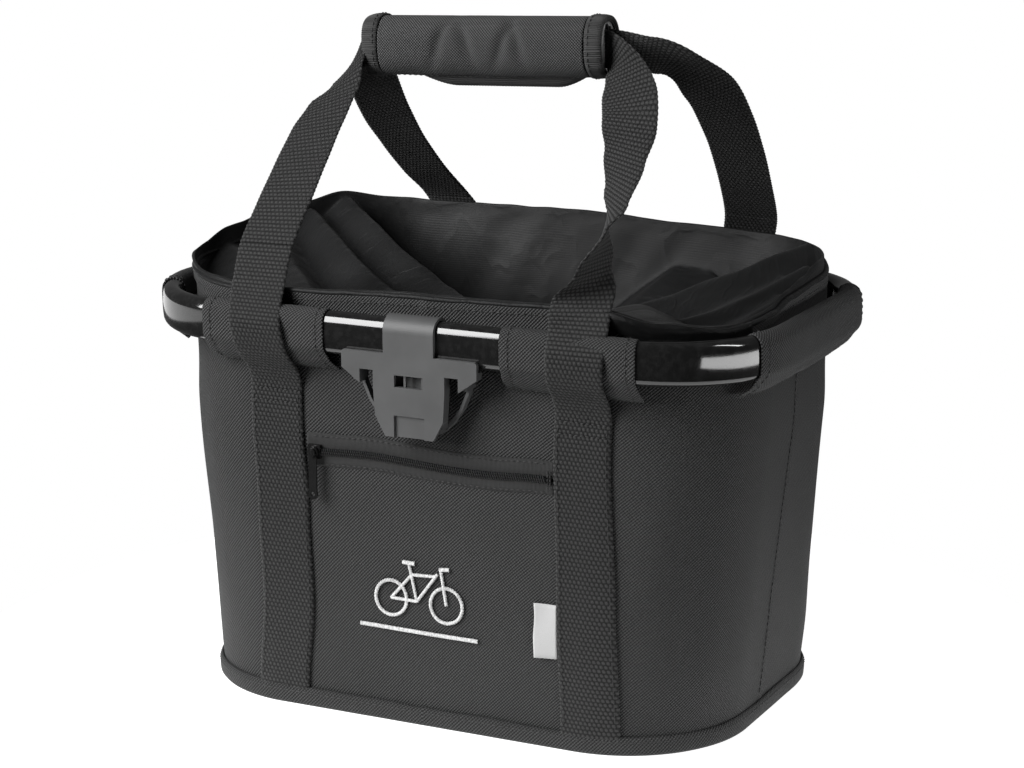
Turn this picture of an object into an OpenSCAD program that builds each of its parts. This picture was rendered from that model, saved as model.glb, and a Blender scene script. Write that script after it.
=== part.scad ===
// Handlebar basket: a soft fabric basket hung on a flat-oval tube rim, with a
// plastic handlebar adapter, a zipped front pocket and a two-strap carry handle.
// Millimetres, +Z up. X runs across the basket, -Y is the front with the adapter.
// The origin is the middle of the base, at the surface that the basket stands on.

/* [Rim tube] */
// Width of the rim over the tube
rim_w = 350; // [340:1:360]
// Depth of the rim over the tube
rim_d = 216; // [208:1:224]
// Outer corner radius of the rim
rim_r = 66; // [58:1:70]
// Height of the middle of the tube above the ground
rim_z = 202; // [200:1:210]
// Height of the flat-oval tube section
tube_h = 22; // [20:0.5:22]
// Thickness of the flat-oval tube section
tube_t = 11; // [10:0.5:11]
// Wall thickness of the tube
tube_wall = 1.5; // [1:0.1:2]

/* [Fabric body] */
// Width of the fabric body at its base
base_w = 298; // [290:1:306]
// Depth of the fabric body at its base
base_d = 198; // [194:1:202]
// Corner radius of the body at its base
base_r = 65; // [60:1:70]
// Distance from the outside of the rim in to the fabric below it
wall_inset = 13; // [13:0.5:16]
// Corner radius of the body at its top
wall_r = 64; // [58:1:68]
// Height where the side panels end and the cuff begins
wall_top = 190; // [186:1:192]
// Thickness of the outer fabric
fabric_t = 1; // [0.8:0.1:1.2]
// Height of the cuff's upper edge
cuff_top = 228; // [222:1:232]
// Height of the lining collar at the front
collar_front = 226; // [220:1:227]
// Height of the lining collar at the rear
collar_rear = 235; // [230:1:236]
// Height of the binding tape around the base
binding_h = 10; // [8:0.5:12]
// Thickness of the binding tape around the base
binding_t = 1.6; // [1.2:0.1:2]

/* [Straps] */
// Width of the webbing
web_w = 30; // [25:0.5:30]
// Thickness of the webbing
web_t = 1.6; // [1.2:0.1:1.8]
// Distance of the left straps from the middle
strap_left = 84; // [80:1:88]
// Distance of the right straps from the middle
strap_right = 90; // [86:1:92]
// Height at which the webbing becomes a free handle leg
strap_top = 206; // [204:1:208]

/* [Grip] */
// Length of the padded grip
grip_len = 136; // [130:1:146]
// Height of the padded grip
grip_h = 31.5; // [30:0.5:34]
// Depth of the padded grip
grip_d = 24.3; // [23:0.1:26]
// Position of the grip across the basket
grip_x = 1; // [-4:1:4]
// Position of the grip from front to back
grip_y = -22; // [-30:1:0]
// Height of the grip's middle
grip_z = 339; // [335:1:345]
// Tilt of the grip, right end up, in degrees
grip_tilt = 2; // [0:0.5:4]
// Width of each bound end of the grip
grip_bind_w = 13; // [8:0.5:16]

/* [Adapter] */
// Width of the adapter over its wings
adapter_w = 75.5; // [74:0.5:80]
// Thickness of the adapter's face plate
adapter_t = 2.2; // [2:0.1:2.6]
// Width of the adapter's hook over the tube
hook_w = 28; // [24:1:32]
// Width of the adapter's body between its side slots
adapter_body_w = 40; // [38:0.5:42]
// Width of each side slot
slot_w = 7.5; // [6:0.5:8]

/* [Zip] */
// Height of the zip above the ground
zip_z = 138; // [132:1:144]
// Left end of the zip chain
zip_left = -66; // [-67:1:-60]
// Right end of the zip chain
zip_right = 73; // [68:1:74]
// Length of the zip puller
puller_len = 25; // [20:1:26]

/* [Hidden] */

$fn = 48;
gap = 0.3;       // clearance between neighbouring layers
bend_steps = 16; // flats round each corner of the fabric walls

// Colours
oxford = [0.14, 0.14, 0.15];
webbing = [0.07, 0.07, 0.07];
nylon = [0.1, 0.1, 0.11];
black_gloss = [0.03, 0.03, 0.03];
grey_plastic = [0.25, 0.26, 0.28];
board_grey = [0.3, 0.3, 0.3];
foam_grey = [0.45, 0.45, 0.47];
silver = [0.75, 0.75, 0.76];

// Rim: half sizes and bend of the tube's mid-line
mid_x = rim_w / 2 - tube_t / 2;
mid_y = rim_d / 2 - tube_t / 2;
mid_r = rim_r - tube_t / 2;
run_x = rim_w / 2 - rim_r;      // half length of the front and rear straights
run_y = rim_d / 2 - rim_r;      // half length of the side straights
rivet_x = 15;                   // rivets to each side of the rear joint
rivet_r = 1.5;

// Body: size at the top and the places of its layers
top_w = rim_w - 2 * wall_inset;
top_d = rim_d - 2 * wall_inset;
panel_low = 1.5;                // lower edge of the side panels
wall_h = wall_top - panel_low;
seam_y = -5;                    // side seams between the front and back panels
pocket_in = fabric_t + 0.2;
pocket_t = 0.6;
stiff_in = pocket_in + pocket_t + 0.2;
stiff_t = 2;
lining_in = stiff_in + stiff_t + gap;
lining_t = 0.6;
board_t = 2.5;
lining_low = panel_low + board_t + gap;
binding_in = 0.7;
binding_out = binding_in + binding_t;
cuff_t = 1.4;
collar_in = cuff_t + gap;
collar_t = 0.8;
collar_low = wall_top + 6;
front_lean = atan((base_d - top_d) / 2 / wall_h);
side_lean = atan((top_w - base_w) / 2 / wall_h);

// Sleeves: fabric folded round the tube, with a tail sewn to the wall below
sleeve_t = 1.2;
sleeve_u = tube_t / 2 + gap + sleeve_t;
sleeve_v = tube_h / 2 + gap + sleeve_t;
tail_drop = 21;
sleeve_near = 49;               // inner ends of the front and rear sleeves
sleeve_bend = 10;               // degrees that they run on round the bends
side_bend = 24;                 // degrees that the side sleeves run round the bends

// Adapter
adapter_y = -(rim_d / 2 + gap + adapter_t);
plate_back = adapter_y + adapter_t;
wing_top = 196;
hook_r = -(mid_y + adapter_y);
hook_in_z = rim_z + tube_h / 2 - tube_t / 2;
hook_z = hook_in_z - 0.7;       // the hook is thinner over the top of the tube
flange_t = 1.8;                 // flange behind the edge of the face, under the tube
flange_d = 3.4;
flange_top = rim_z - tube_h / 2 - 0.5;
hook_back = -(top_d / 2 + 0.4); // the lip stops just short of the cuff
keel_t = 1.6;
keel_near = 5;                  // the side braces lie behind the face, between these depths
keel_d = 9;
foot_w = 17;                    // recess in the foot, where the latch of the bar sits
foot_h = 11;
foot_t = 1.4;
boss_x = 12;
boss_z = 172;
boss_y = -104.3;
screw_r = 1.45;

// Zip, slider and puller, in heights above the front panel
tape_w = 9;
tape_t = 0.6;
coil_r = 1;
slider_x = zip_left + 4;
slider_l = 7;
slider_low = gap + tape_t + gap;
slider_top = gap + tape_t + 2 * coil_r + gap + 1;
puller_low = slider_top + 0.7;
puller_t = 1;
bail_r = 1.2;

// Grip: the layers of its oval section, each [half depth, half height]
flap_out = [grip_d / 2, grip_h / 2];
flap_in = flap_out - [0.8, 0.8];
hook_out = flap_in - [0.05, 0.05];
hook_in = hook_out - [0.45, 0.45];
loop_out = hook_in - [0.35, 0.35];
loop_in = loop_out - [0.45, 0.45];
cover_out = loop_in - [0.05, 0.05];
cover_in = cover_out - [0.8, 0.8];
pad_out = cover_in - [0.2, 0.2];
pad_in = [2.4, 11.6];
grip_web_h = 20;                // the webbing is folded narrower inside the grip
flap_len = grip_len - 2 * grip_bind_w - 1;

// Free handle legs: route points, and the way that the webbing's width points
// at each one. They leave the straps at the rim and end at the grip.
leg_fl = [
  [-84, -110.9, 206.5], [-84.5, -110.2, 211], [-86, -106.5, 216.5], [-88, -99.5, 223.5],
  [-90, -92, 236], [-90, -78, 260], [-87, -62, 288], [-82, -46, 311],
  [-78, -36, 324], [-72, -27, 334.5], [-69.8, -23.8, 336.5]
];
leg_fl_w = [
  [1, 0, 0], [1, 0, 0], [1, 0, 0], [1, 0, 0], [1, 0, 0], [1, 0, 0],
  [1, 0, 0], [1, 0, 0.1], [0.2, 0, 1], [-0.035, 0, 1], [-0.035, 0, 1]
];
leg_fr = [
  [90, -110.9, 206.5], [90, -110.2, 211], [90, -106.5, 216.5], [90, -99.5, 223.5],
  [91, -92, 236], [93, -80, 255], [94, -66, 277], [92, -50, 303],
  [86, -40, 318], [77, -31, 334], [71.8, -23.8, 341.5]
];
leg_fr_w = [
  [1, 0, 0], [1, 0, 0], [1, 0, 0], [1, 0, 0], [0.98, 0.2, 0], [0.8, 0.6, 0],
  [0.5, 0.87, 0], [0.4, 0.9, 0.2], [0.3, 0.6, 0.75], [0, 0.1, 1], [-0.035, 0, 1]
];
leg_rl = [
  [-84, 110.9, 206.5], [-84.5, 110.2, 211], [-85.5, 106.5, 216.5], [-87, 100, 224],
  [-90, 96.5, 233], [-93, 92, 241], [-103, 62, 266], [-105, 38, 291],
  [-96, 14, 313], [-80, -8, 331], [-69.8, -20.2, 336.5]
];
leg_rl_w = [
  [1, 0, 0], [1, 0, 0], [1, 0, 0], [1, 0, 0], [1, 0, 0], [1, 0, 0],
  [1, 0, 0], [1, 0.1, 0.2], [0.9, 0.1, 0.4], [0.3, 0, 0.95], [-0.035, 0, 1]
];
leg_rr = [
  [90, 110.9, 206.5], [90, 110.2, 211], [90.5, 106.5, 216.5], [91, 100, 224],
  [92, 96.5, 233], [94, 92, 241], [102, 56, 272], [105, 26, 303],
  [98, 2, 325], [84, -12, 338], [71.8, -20.2, 341.5]
];
leg_rr_w = [
  [1, 0, 0], [1, 0, 0], [1, 0, 0], [1, 0, 0], [1, 0, 0], [1, 0, 0],
  [1, 0, 0], [0.95, 0, 0.2], [0.8, 0, 0.6], [0.2, 0, 1], [-0.035, 0, 1]
];

// ---------------------------------------------------------------- helpers

// Rounded rectangle, w by d
module outline(w, d, r) {
  square([w - 2 * r, d], center = true);
  square([w, d - 2 * r], center = true);
  for (sx = [-1, 1], sy = [-1, 1])
    translate([sx * (w / 2 - r), sy * (d / 2 - r)]) circle(r, $fn = 64);
}

// Flat-oval section, half depth u and half height v
module oval(u, v) {
  square([2 * u, 2 * (v - u)], center = true);
  for (s = [-1, 1]) translate([0, s * (v - u)]) circle(u);
}

module oval_ring(out, in) {
  difference() {
    oval(out[0], out[1]);
    oval(in[0], in[1]);
  }
}

// Plan of the basket at height z, set in from its outer face, clockwise from above.
// The half plan runs from a seam on the right, round the front, to one on the left.
function bend_points(cx, cy, r, start) = [
  for (i = [0:bend_steps]) let (a = start - 90 * i / bend_steps)
    [cx + r * cos(a), cy + r * sin(a)]
];
function front_bends(z, inset) = let (
  r = wall_corner(z) - inset,
  cx = wall_width(z) / 2 - wall_corner(z),
  cy = wall_depth(z) / 2 - wall_corner(z)
) concat(bend_points(cx, -cy, r, 0), bend_points(-cx, -cy, r, -90));
function half_plan(z, inset, seam) = let (x = wall_width(z) / 2 - inset)
  concat([[x, seam]], front_bends(z, inset), [[-x, seam]]);
function full_plan(z, inset) =
  concat(front_bends(z, inset), [for (p = front_bends(z, inset)) -p]);
function at_height(plan, z) = [for (p = plan) [p[0], p[1], z]];

// Faces of a wall between points i and j of the plan, with n points in each ring
function wall_faces(i, j, n) = [
  [i, j, n + j, n + i], [2 * n + j, 2 * n + i, 3 * n + i, 3 * n + j],
  [n + i, n + j, 3 * n + j, 3 * n + i]
];
function low_face(i, j, n) = [j, i, 2 * n + i, 2 * n + j];

// Half of the wall, from seam to seam round the front
module half_wall(inset, thick, low, high, seam) {
  n = len(half_plan(low, 0, seam));
  polyhedron(
    points = concat(
      at_height(half_plan(low, inset, seam), low),
      at_height(half_plan(high, inset, seam), high),
      at_height(half_plan(low, inset + thick, seam), low),
      at_height(half_plan(high, inset + thick, seam), high)
    ),
    faces = concat(
      [[0, n, 3 * n, 2 * n], [n - 1, 3 * n - 1, 4 * n - 1, 2 * n - 1]],
      [for (i = [0:n - 2]) each wall_faces(i, i + 1, n)],
      [for (i = [0:n - 2]) low_face(i, i + 1, n)]
    )
  );
}

// Wall all round, with a floor
module cup(inset, thick, low, high) {
  n = len(full_plan(low, 0));
  polyhedron(
    points = concat(
      at_height(full_plan(low, inset), low),
      at_height(full_plan(high, inset), high),
      at_height(full_plan(low + thick, inset + thick), low + thick),
      at_height(full_plan(high, inset + thick), high)
    ),
    faces = concat(
      [[for (i = [n - 1:-1:0]) i], [for (i = [0:n - 1]) 2 * n + i]],
      [for (i = [0:n - 1]) each wall_faces(i, (i + 1) % n, n)]
    )
  );
}

function along_wall(z) = (z - panel_low) / wall_h;
function wall_width(z) = base_w + (top_w - base_w) * along_wall(z);
function wall_depth(z) = base_d + (top_d - base_d) * along_wall(z);
function wall_corner(z) = base_r + (wall_r - base_r) * along_wall(z);

// Straight stretch of the rim: side is the turn of its outward face from -Y
module rim_straight(turn, reach, from, to) {
  rotate([0, 0, turn]) translate([from, -reach, rim_z])
    rotate([90, 0, 90]) linear_extrude(to - from) mirror([1, 0]) children();
}

// Bend of the rim: corner is the turn of the bend that starts from the +X side
module rim_bend(sx, sy, start, sweep) {
  translate([sx * run_x, sy * run_y, rim_z])
    rotate([0, 0, start]) rotate_extrude(angle = sweep, $fn = 96)
      translate([mid_r, 0]) children();
}

// Puts a flat shape on the front panel, z away from it along its outward normal
module on_front(x, z, away) {
  translate([x, -wall_depth(z) / 2, z]) rotate([90 - front_lean, 0, 0])
    translate([0, 0, away]) children();
}

module at_grip() {
  translate([grip_x, grip_y, grip_z]) rotate([0, -grip_tilt, 0]) children();
}

// Stretch of the grip's section, centred on x
module grip_run(x, len) {
  at_grip() translate([x - len / 2, 0, 0]) rotate([90, 0, 90]) linear_extrude(len) children();
}

// Unit vector, and the corners of a webbing section about a point
function unit(v) = v / norm(v);
function way(p, i) = unit(p[min(i + 1, len(p) - 1)] - p[max(i - 1, 0)]);
function section(p, w, i) = let (
  a = unit(w[i]) * web_w / 2 * (i > len(p) - 4 ? 0.8 : 1),
  n = unit(cross(way(p, i), w[i])) * web_t / 2
) [p[i] - a - n, p[i] + a - n, p[i] + a + n, p[i] - a + n];

// Length of webbing along a route. Its two broad faces are split along the same
// diagonal, so that it keeps its thickness where it twists.
module ribbon(p, w) {
  rings = len(p);
  last = 4 * (rings - 1);
  polyhedron(
    points = [for (i = [0:rings - 1]) each section(p, w, i)],
    faces = concat(
      [[0, 1, 2], [0, 2, 3], [last + 2, last + 1, last], [last + 3, last + 2, last]],
      [for (i = [0:rings - 2], k = [0:3]) each side_faces(4 * i + k, 4 * i + (k + 1) % 4, k)]
    )
  );
}
function side_faces(a, b, k) = k < 2
  ? [[a, a + 4, b], [b, a + 4, b + 4]]
  : [[a, a + 4, b + 4], [a, b + 4, b]];

// Outline of a band of thickness t whose middle follows the points p
function band(p, t) = concat(
  [for (i = [0:len(p) - 1]) p[i] + side(p, i) * t / 2],
  [for (i = [len(p) - 1:-1:0]) p[i] - side(p, i) * t / 2]
);
function side(p, i) = let (d = way(p, i)) [-d[1], d[0]];

// ---------------------------------------------------------------- rim

module rim_loop() {
  for (s = [0, 180]) {
    rim_straight(s, mid_y, -run_x, run_x) children();
    rim_straight(s + 90, mid_x, -run_y, run_y) children();
  }
  rim_bend(1, -1, -90, 90) children();
  rim_bend(1, 1, 0, 90) children();
  rim_bend(-1, 1, 90, 90) children();
  rim_bend(-1, -1, 180, 90) children();
}

module tube_section() {
  oval_ring([tube_t / 2, tube_h / 2], [tube_t / 2 - tube_wall, tube_h / 2 - tube_wall]);
}

// Holes through the two walls of the rear straight
module rivet_bores(r) {
  for (s = [-1, 1]) translate([s * rivet_x, mid_y, rim_z])
    rotate([90, 0, 0]) cylinder(h = 20, r = r, center = true);
}

module rim_tube() color(black_gloss) difference() {
  rim_loop() tube_section();
  translate([0, mid_y, rim_z]) cube([0.6, 20, 40], center = true);
  rivet_bores(rivet_r + 0.1);
}

module rim_joiner() color(silver) difference() {
  translate([-25, mid_y, rim_z]) rotate([90, 0, 90]) linear_extrude(50)
    oval(tube_t / 2 - tube_wall - 0.15, tube_h / 2 - tube_wall - 0.15);
  rivet_bores(rivet_r + 0.1);
}

module rim_rivets() color(silver) for (s = [-1, 1])
  translate([s * rivet_x, mid_y, rim_z]) rotate([90, 0, 0]) {
    cylinder(h = tube_t + 0.4, r = rivet_r, center = true);
    for (m = [-1, 1]) translate([0, 0, m * (tube_t / 2 + 0.5)])
      cylinder(h = 0.8, r = 2.6, center = true);
  }

// ---------------------------------------------------------------- adapter

function half_face() = [
  [0, wing_top], [adapter_w / 2 - 1, wing_top], [adapter_w / 2, wing_top - 1],
  [adapter_w / 2, wing_top - 9], [adapter_w / 2 - 10, wing_top - 16],
  [adapter_body_w / 2 + slot_w, wing_top - 16], [adapter_body_w / 2 + slot_w, wing_top - 9],
  [adapter_body_w / 2, wing_top - 9], [adapter_body_w / 2, wing_top - 18],
  [adapter_body_w / 2 - 1, wing_top - 32], [adapter_body_w / 2 - 6.5, wing_top - 42],
  [0, wing_top - 42]
];

module adapter_face() {
  polygon(half_face());
  mirror([1, 0]) polygon(half_face());
}

module screw_bores(r, from, to) {
  for (s = [-1, 1]) translate([s * boss_x, from, boss_z])
    rotate([-90, 0, 0]) cylinder(h = to - from, r = r);
}

// Brace behind the face on each side, from the wing in to the foot
function keel_line() = [
  [30.5, wing_top - 11], [29, wing_top - 18], [25.5, wing_top - 26],
  [20.5, wing_top - 33], [16, wing_top - 37.5]
];

module behind_face(from, to) {
  translate([0, plate_back + to, 0]) rotate([90, 0, 0]) linear_extrude(to - from) children();
}

// Brace and the two posts that carry it
module keel() {
  behind_face(keel_near, keel_d) polygon(band(keel_line(), keel_t));
  behind_face(-1, keel_d) translate([28.6, wing_top - 15]) square([3, 4.5]);
  behind_face(-1, keel_d) translate([14.5, wing_top - 38.5]) square([2.2, 3]);
}

// Flange behind the edges of the face, below the tube
module flange() behind_face(-1, flange_d) difference() {
  adapter_face();
  difference() {
    adapter_face();
    for (m = [0, 1]) mirror([m, 0]) {
      translate([adapter_w / 2 - flange_t, wing_top - 9]) square([flange_t + 1, 12]);
      translate([adapter_body_w / 2 - flange_t, wing_top - 33]) square([flange_t + 1, 24]);
      translate([adapter_body_w / 2 + slot_w, wing_top - 16.5]) square([flange_t, 8]);
    }
  }
  translate([-adapter_w, flange_top]) square([2 * adapter_w, 40]);
}

// Hook rolled over the tube: an arc about the middle of the tube's upper edge,
// with its front leg down to the wings and a thin lip behind the tube
module hook_section() difference() {
  intersection() {
    translate([-mid_y, 0]) union() {
      translate([0, hook_z]) circle(hook_r, $fn = 96);
      translate([-hook_r, wing_top - 2]) square([hook_r, hook_z - wing_top + 2]);
      translate([0, hook_z - 4]) square([hook_r, 4]);
    }
    translate([adapter_y, wing_top - 2]) square([hook_back - adapter_y, 40]);
  }
  translate([-mid_y, 0]) union() {
    translate([0, hook_in_z]) circle(tube_t / 2 + gap, $fn = 96);
    translate([-tube_t / 2 - gap, wing_top - 4]) square([tube_t + 2 * gap, hook_in_z - wing_top + 4]);
  }
}

module adapter_plate() color(grey_plastic) difference() {
  union() {
    translate([0, plate_back, 0]) rotate([90, 0, 0]) linear_extrude(adapter_t)
      adapter_face();
    translate([-hook_w / 2, 0, 0]) rotate([90, 0, 90]) linear_extrude(hook_w)
      hook_section();
    for (m = [0, 1]) mirror([m, 0, 0]) keel();
    flange();
    for (s = [-1, 1]) translate([s * 17 - 1, plate_back - 1, 160]) cube([2, 6, 26]);
    screw_bores(3.6, plate_back - 1, boss_y);
  }
  translate([-8, adapter_y - 1, wing_top - 16.5]) difference() {
    cube([16, adapter_t + 2, 6]);
    for (x = [4.6, 14.4]) translate([x, 2.4, -1]) cube([1.2, 6, 8]);
  }
  translate([-foot_w / 2, adapter_y - 1, wing_top - 43])
    cube([foot_w, 1 + foot_t, foot_h + 1]);
  screw_bores(screw_r + 0.05, plate_back - 2, boss_y + 1);
}

module adapter_jaw() color(grey_plastic) difference() {
  union() {
    translate([-15.7, boss_y + 0.05, 166]) cube([31.4, 5.5, 24.6 - 12]);
    translate([-15.7, boss_y + 0.05, 178]) cube([31.4, 5.5, rim_z - tube_h / 2 - gap - 178]);
  }
  screw_bores(screw_r + 0.25, boss_y - 1, boss_y + 8);
}

module adapter_screws() color(silver) {
  screw_bores(screw_r, plate_back - 1.5, boss_y + 5.7);
  screw_bores(3, boss_y + 5.6, boss_y + 7.2);
}

// ---------------------------------------------------------------- fabric body

module front_panel() color(oxford)
  half_wall(0, fabric_t, panel_low, wall_top - gap, seam_y - gap / 2);

module back_panel() color(oxford) mirror([0, 1, 0])
  half_wall(0, fabric_t, panel_low, wall_top - gap, -seam_y - gap / 2);

module base_panel() color(oxford)
  linear_extrude(1.2) outline(base_w, base_d, base_r);

module base_board() color(board_grey) translate([0, 0, panel_low])
  linear_extrude(board_t)
    outline(base_w - 2 * pocket_in, base_d - 2 * pocket_in, base_r - pocket_in);

// The binding stands off far enough to clear the wall that leans out above it
module base_binding() color(oxford) linear_extrude(binding_h) difference() {
  outline(
    base_w + 2 * binding_out, base_d + 2 * binding_out, base_r + binding_out
  );
  outline(
    base_w + 2 * binding_in, base_d + 2 * binding_in, base_r + binding_in
  );
}

// Flat foam sheet inside one wall, width w, leaning with that wall
module stiffener(turn, reach, lean, w) {
  color(foam_grey) rotate([0, 0, turn]) translate([0, -reach, panel_low])
    rotate([-lean, 0, 0]) translate([-w / 2, stiff_in, board_t + 1.5])
      cube([w, stiff_t, wall_h - board_t - 6]);
}

module stiffener_front() stiffener(0, base_d / 2, front_lean, base_w - 2 * base_r);
module stiffener_back() stiffener(180, base_d / 2, front_lean, base_w - 2 * base_r);
module stiffener_left() stiffener(-90, base_w / 2, -side_lean, base_d - 2 * base_r);
module stiffener_right() stiffener(90, base_w / 2, -side_lean, base_d - 2 * base_r);

module lining_bag() color(nylon) cup(lining_in, lining_t, lining_low, wall_top);

// Ring of the outline at the top of the wall, set in from its outer face
module top_ring(inset, thick, low, high) {
  translate([0, 0, low]) linear_extrude(high - low) difference() {
    outline(top_w - 2 * inset, top_d - 2 * inset, wall_r - inset);
    outline(
      top_w - 2 * (inset + thick), top_d - 2 * (inset + thick), wall_r - inset - thick
    );
  }
}

module cuff() color(oxford) top_ring(0, cuff_t, wall_top, cuff_top);

// The collar's upper edge rises from the front to the rear
module lining_collar() color(nylon) difference() {
  top_ring(collar_in, collar_t, collar_low, collar_rear + 8);
  translate([0, 0, (collar_front + collar_rear) / 2])
    rotate([atan((collar_rear - collar_front) / top_d), 0, 0])
      translate([-200, -200, 0]) cube([400, 400, 50]);
}

// ---------------------------------------------------------------- sleeves

module sleeve_section() {
  oval_ring([sleeve_u, sleeve_v], [sleeve_u - sleeve_t, sleeve_v - sleeve_t]);
  translate([-sleeve_u, -tail_drop]) square([sleeve_t, tail_drop]);
}

// Sleeve on the front straight, run on round the front right bend
module end_sleeve() {
  color(oxford) {
    rim_straight(0, mid_y, sleeve_near, run_x) sleeve_section();
    rim_bend(1, -1, -90, sleeve_bend) sleeve_section();
  }
}

// Half of the right side's sleeve, run on round the rear right bend
module half_side_sleeve() {
  rim_straight(90, mid_x, 0, run_y) sleeve_section();
  rim_bend(1, 1, 0, side_bend) sleeve_section();
}

module side_sleeve() {
  color(oxford) {
    half_side_sleeve();
    mirror([0, 1, 0]) half_side_sleeve();
  }
}

module sleeve_front_left() mirror([1, 0, 0]) end_sleeve();
module sleeve_front_right() end_sleeve();
module sleeve_rear_left() mirror([1, 0, 0]) mirror([0, 1, 0]) end_sleeve();
module sleeve_rear_right() mirror([0, 1, 0]) end_sleeve();
module sleeve_left() mirror([1, 0, 0]) side_sleeve();
module sleeve_right() side_sleeve();

// ---------------------------------------------------------------- zip pocket

module pocket_bag() color(nylon) {
  low = 40;
  on_front(0, low, -pocket_in - pocket_t) translate([-66, 0, 0])
    cube([132, zip_z - low - 3, pocket_t]);
}

module zip_tape(up) {
  color(webbing) on_front(0, zip_z, gap)
    translate([zip_left, up ? 0.2 : -0.2 - tape_w, 0])
      cube([zip_right - zip_left, tape_w, tape_t]);
}

module zip_tape_upper() zip_tape(true);
module zip_tape_lower() zip_tape(false);

module zip_coils() color(black_gloss) for (s = [-1, 1])
  on_front(zip_left + 3, zip_z, gap + tape_t + coil_r + 0.02)
    translate([0, s * (coil_r + 0.05), 0]) rotate([0, 90, 0])
      cylinder(h = zip_right - zip_left - 6, r = coil_r, $fn = 24);

module zip_stops() color(silver) for (x = [zip_left + 1.2, zip_right - 1.8])
  on_front(x, zip_z, gap + tape_t + 0.05) translate([-0.9, -2.4, 0]) cube([1.8, 4.8, 1.4]);

module zip_slider() color(black_gloss) on_front(slider_x + 1, zip_z, 0) {
  difference() {
    translate([-slider_l / 2, -3.6, slider_low]) cube([slider_l, 7.2, slider_top - slider_low]);
    translate([-slider_l, -2.4, slider_low - 1]) cube([2 * slider_l, 4.8, slider_top - slider_low]);
  }
  translate([0, 0, slider_top - 0.1]) cylinder(h = 3.4, r = bail_r);
  translate([0, 0, puller_low + puller_t + 0.5]) cylinder(h = 0.9, r = 2.2);
}

module zip_puller() color(black_gloss) on_front(slider_x + 1, zip_z, puller_low)
  linear_extrude(puller_t) difference() {
    union() {
      circle(3);
      translate([0, 3 - puller_len]) circle(2.8);
      translate([-2.3, 3 - puller_len]) square([4.6, puller_len - 3]);
    }
    circle(bail_r + 0.3);
    translate([0, 3 - puller_len]) circle(1.2);
  }

// ---------------------------------------------------------------- straps

// Sewn part of a strap: up the wall, then out over the sleeve
function strap_line() = [
  [wall_depth(binding_h) / 2 + gap + web_t / 2, binding_h + 0.8],
  [wall_depth(170) / 2 + gap + web_t / 2, 170],
  [mid_y + sleeve_u - 3, 186], [mid_y + sleeve_u + gap + web_t / 2, 195],
  [mid_y + sleeve_u + gap + web_t / 2, strap_top]
];

module strap(x, front) {
  color(webbing) mirror([0, front ? 1 : 0, 0]) translate([x - web_w / 2, 0, 0])
    rotate([90, 0, 90]) linear_extrude(web_w) polygon(band(strap_line(), web_t));
}

module strap_front_left() strap(-strap_left, true);
module strap_front_right() strap(strap_right, true);
module strap_rear_left() strap(-strap_left, false);
module strap_rear_right() strap(strap_right, false);

module handle_leg_front_left() color(webbing) ribbon(leg_fl, leg_fl_w);
module handle_leg_front_right() color(webbing) ribbon(leg_fr, leg_fr_w);
module handle_leg_rear_left() color(webbing) ribbon(leg_rl, leg_rl_w);
module handle_leg_rear_right() color(webbing) ribbon(leg_rr, leg_rr_w);

// ---------------------------------------------------------------- grip

module handle_web(y) {
  color(webbing) at_grip() translate([0, y, 0])
    cube([grip_len - 1, web_t, grip_web_h], center = true);
}

module handle_web_front() handle_web(-1.1);
module handle_web_rear() handle_web(1.1);

module grip_pad() color(foam_grey) grip_run(0, grip_len - 4) oval_ring(pad_out, pad_in);

module grip_cover() color(oxford) grip_run(0, grip_len - 2) oval_ring(cover_out, cover_in);

// Part of an oval ring in front of the grip's middle, between two heights
module front_arc(out, in, low, high) {
  intersection() {
    oval_ring(out, in);
    translate([-30, low]) square([29.7, high - low]);
  }
}

module grip_flap() color(oxford) grip_run(0, flap_len) front_arc(flap_out, flap_in, -20, 20);

module grip_hook_tape() color(webbing) grip_run(0, flap_len - 6)
  front_arc(hook_out, hook_in, -20, -8);

module grip_loop_tape() color(webbing) grip_run(0, flap_len - 6)
  front_arc(loop_out, loop_in, -20, -8);

module grip_binding(s) {
  color(webbing) grip_run(s * (grip_len - grip_bind_w) / 2, grip_bind_w)
    oval_ring(flap_out, cover_out + [0.1, 0.1]);
}

module grip_binding_left() grip_binding(-1);
module grip_binding_right() grip_binding(1);

// ---------------------------------------------------------------- trims

// Woven tab that sticks out from under the right front strap
module label_tab() color(silver) on_front(strap_right - web_w / 2 - gap - 11, 47, gap)
  cube([11, 28, 0.6]);

// Stitched motif: a plain bicycle in outline over a ruled line
module bar(a, b, w) {
  d = b - a;
  translate(a) rotate(atan2(d[1], d[0])) translate([0, -w / 2]) square([norm(d), w]);
}

module bicycle() {
  wheel = 10;
  hub = 16;
  seat = [-5, 17];
  crank = [-1, 0];
  head = [11, 16];
  for (s = [-1, 1]) translate([s * hub, 0]) difference() {
    circle(wheel);
    circle(wheel - 1.8);
  }
  bar([-hub, 0], crank, 1.6);
  bar([-hub, 0], seat * 0.8, 1.6);
  bar(crank, seat * 1.15, 1.6);
  bar(crank, head, 1.6);
  bar(seat * 0.8, head * 0.9, 1.6);
  bar([hub, 0], head * 1.15, 1.6);
  bar(seat * 1.15 - [3.5, 0], seat * 1.15 + [3.5, 0], 2);
  bar(head * 1.15 - [0.6, 0], head * 1.15 + [5, 0.6], 2);
}

module front_emblem() color(silver) on_front(-2, 66, gap) {
  linear_extrude(0.6) bicycle();
  linear_extrude(0.6) bar([-34, -16], [34, -16], 2);
}

// ---------------------------------------------------------------- drawing

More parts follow.
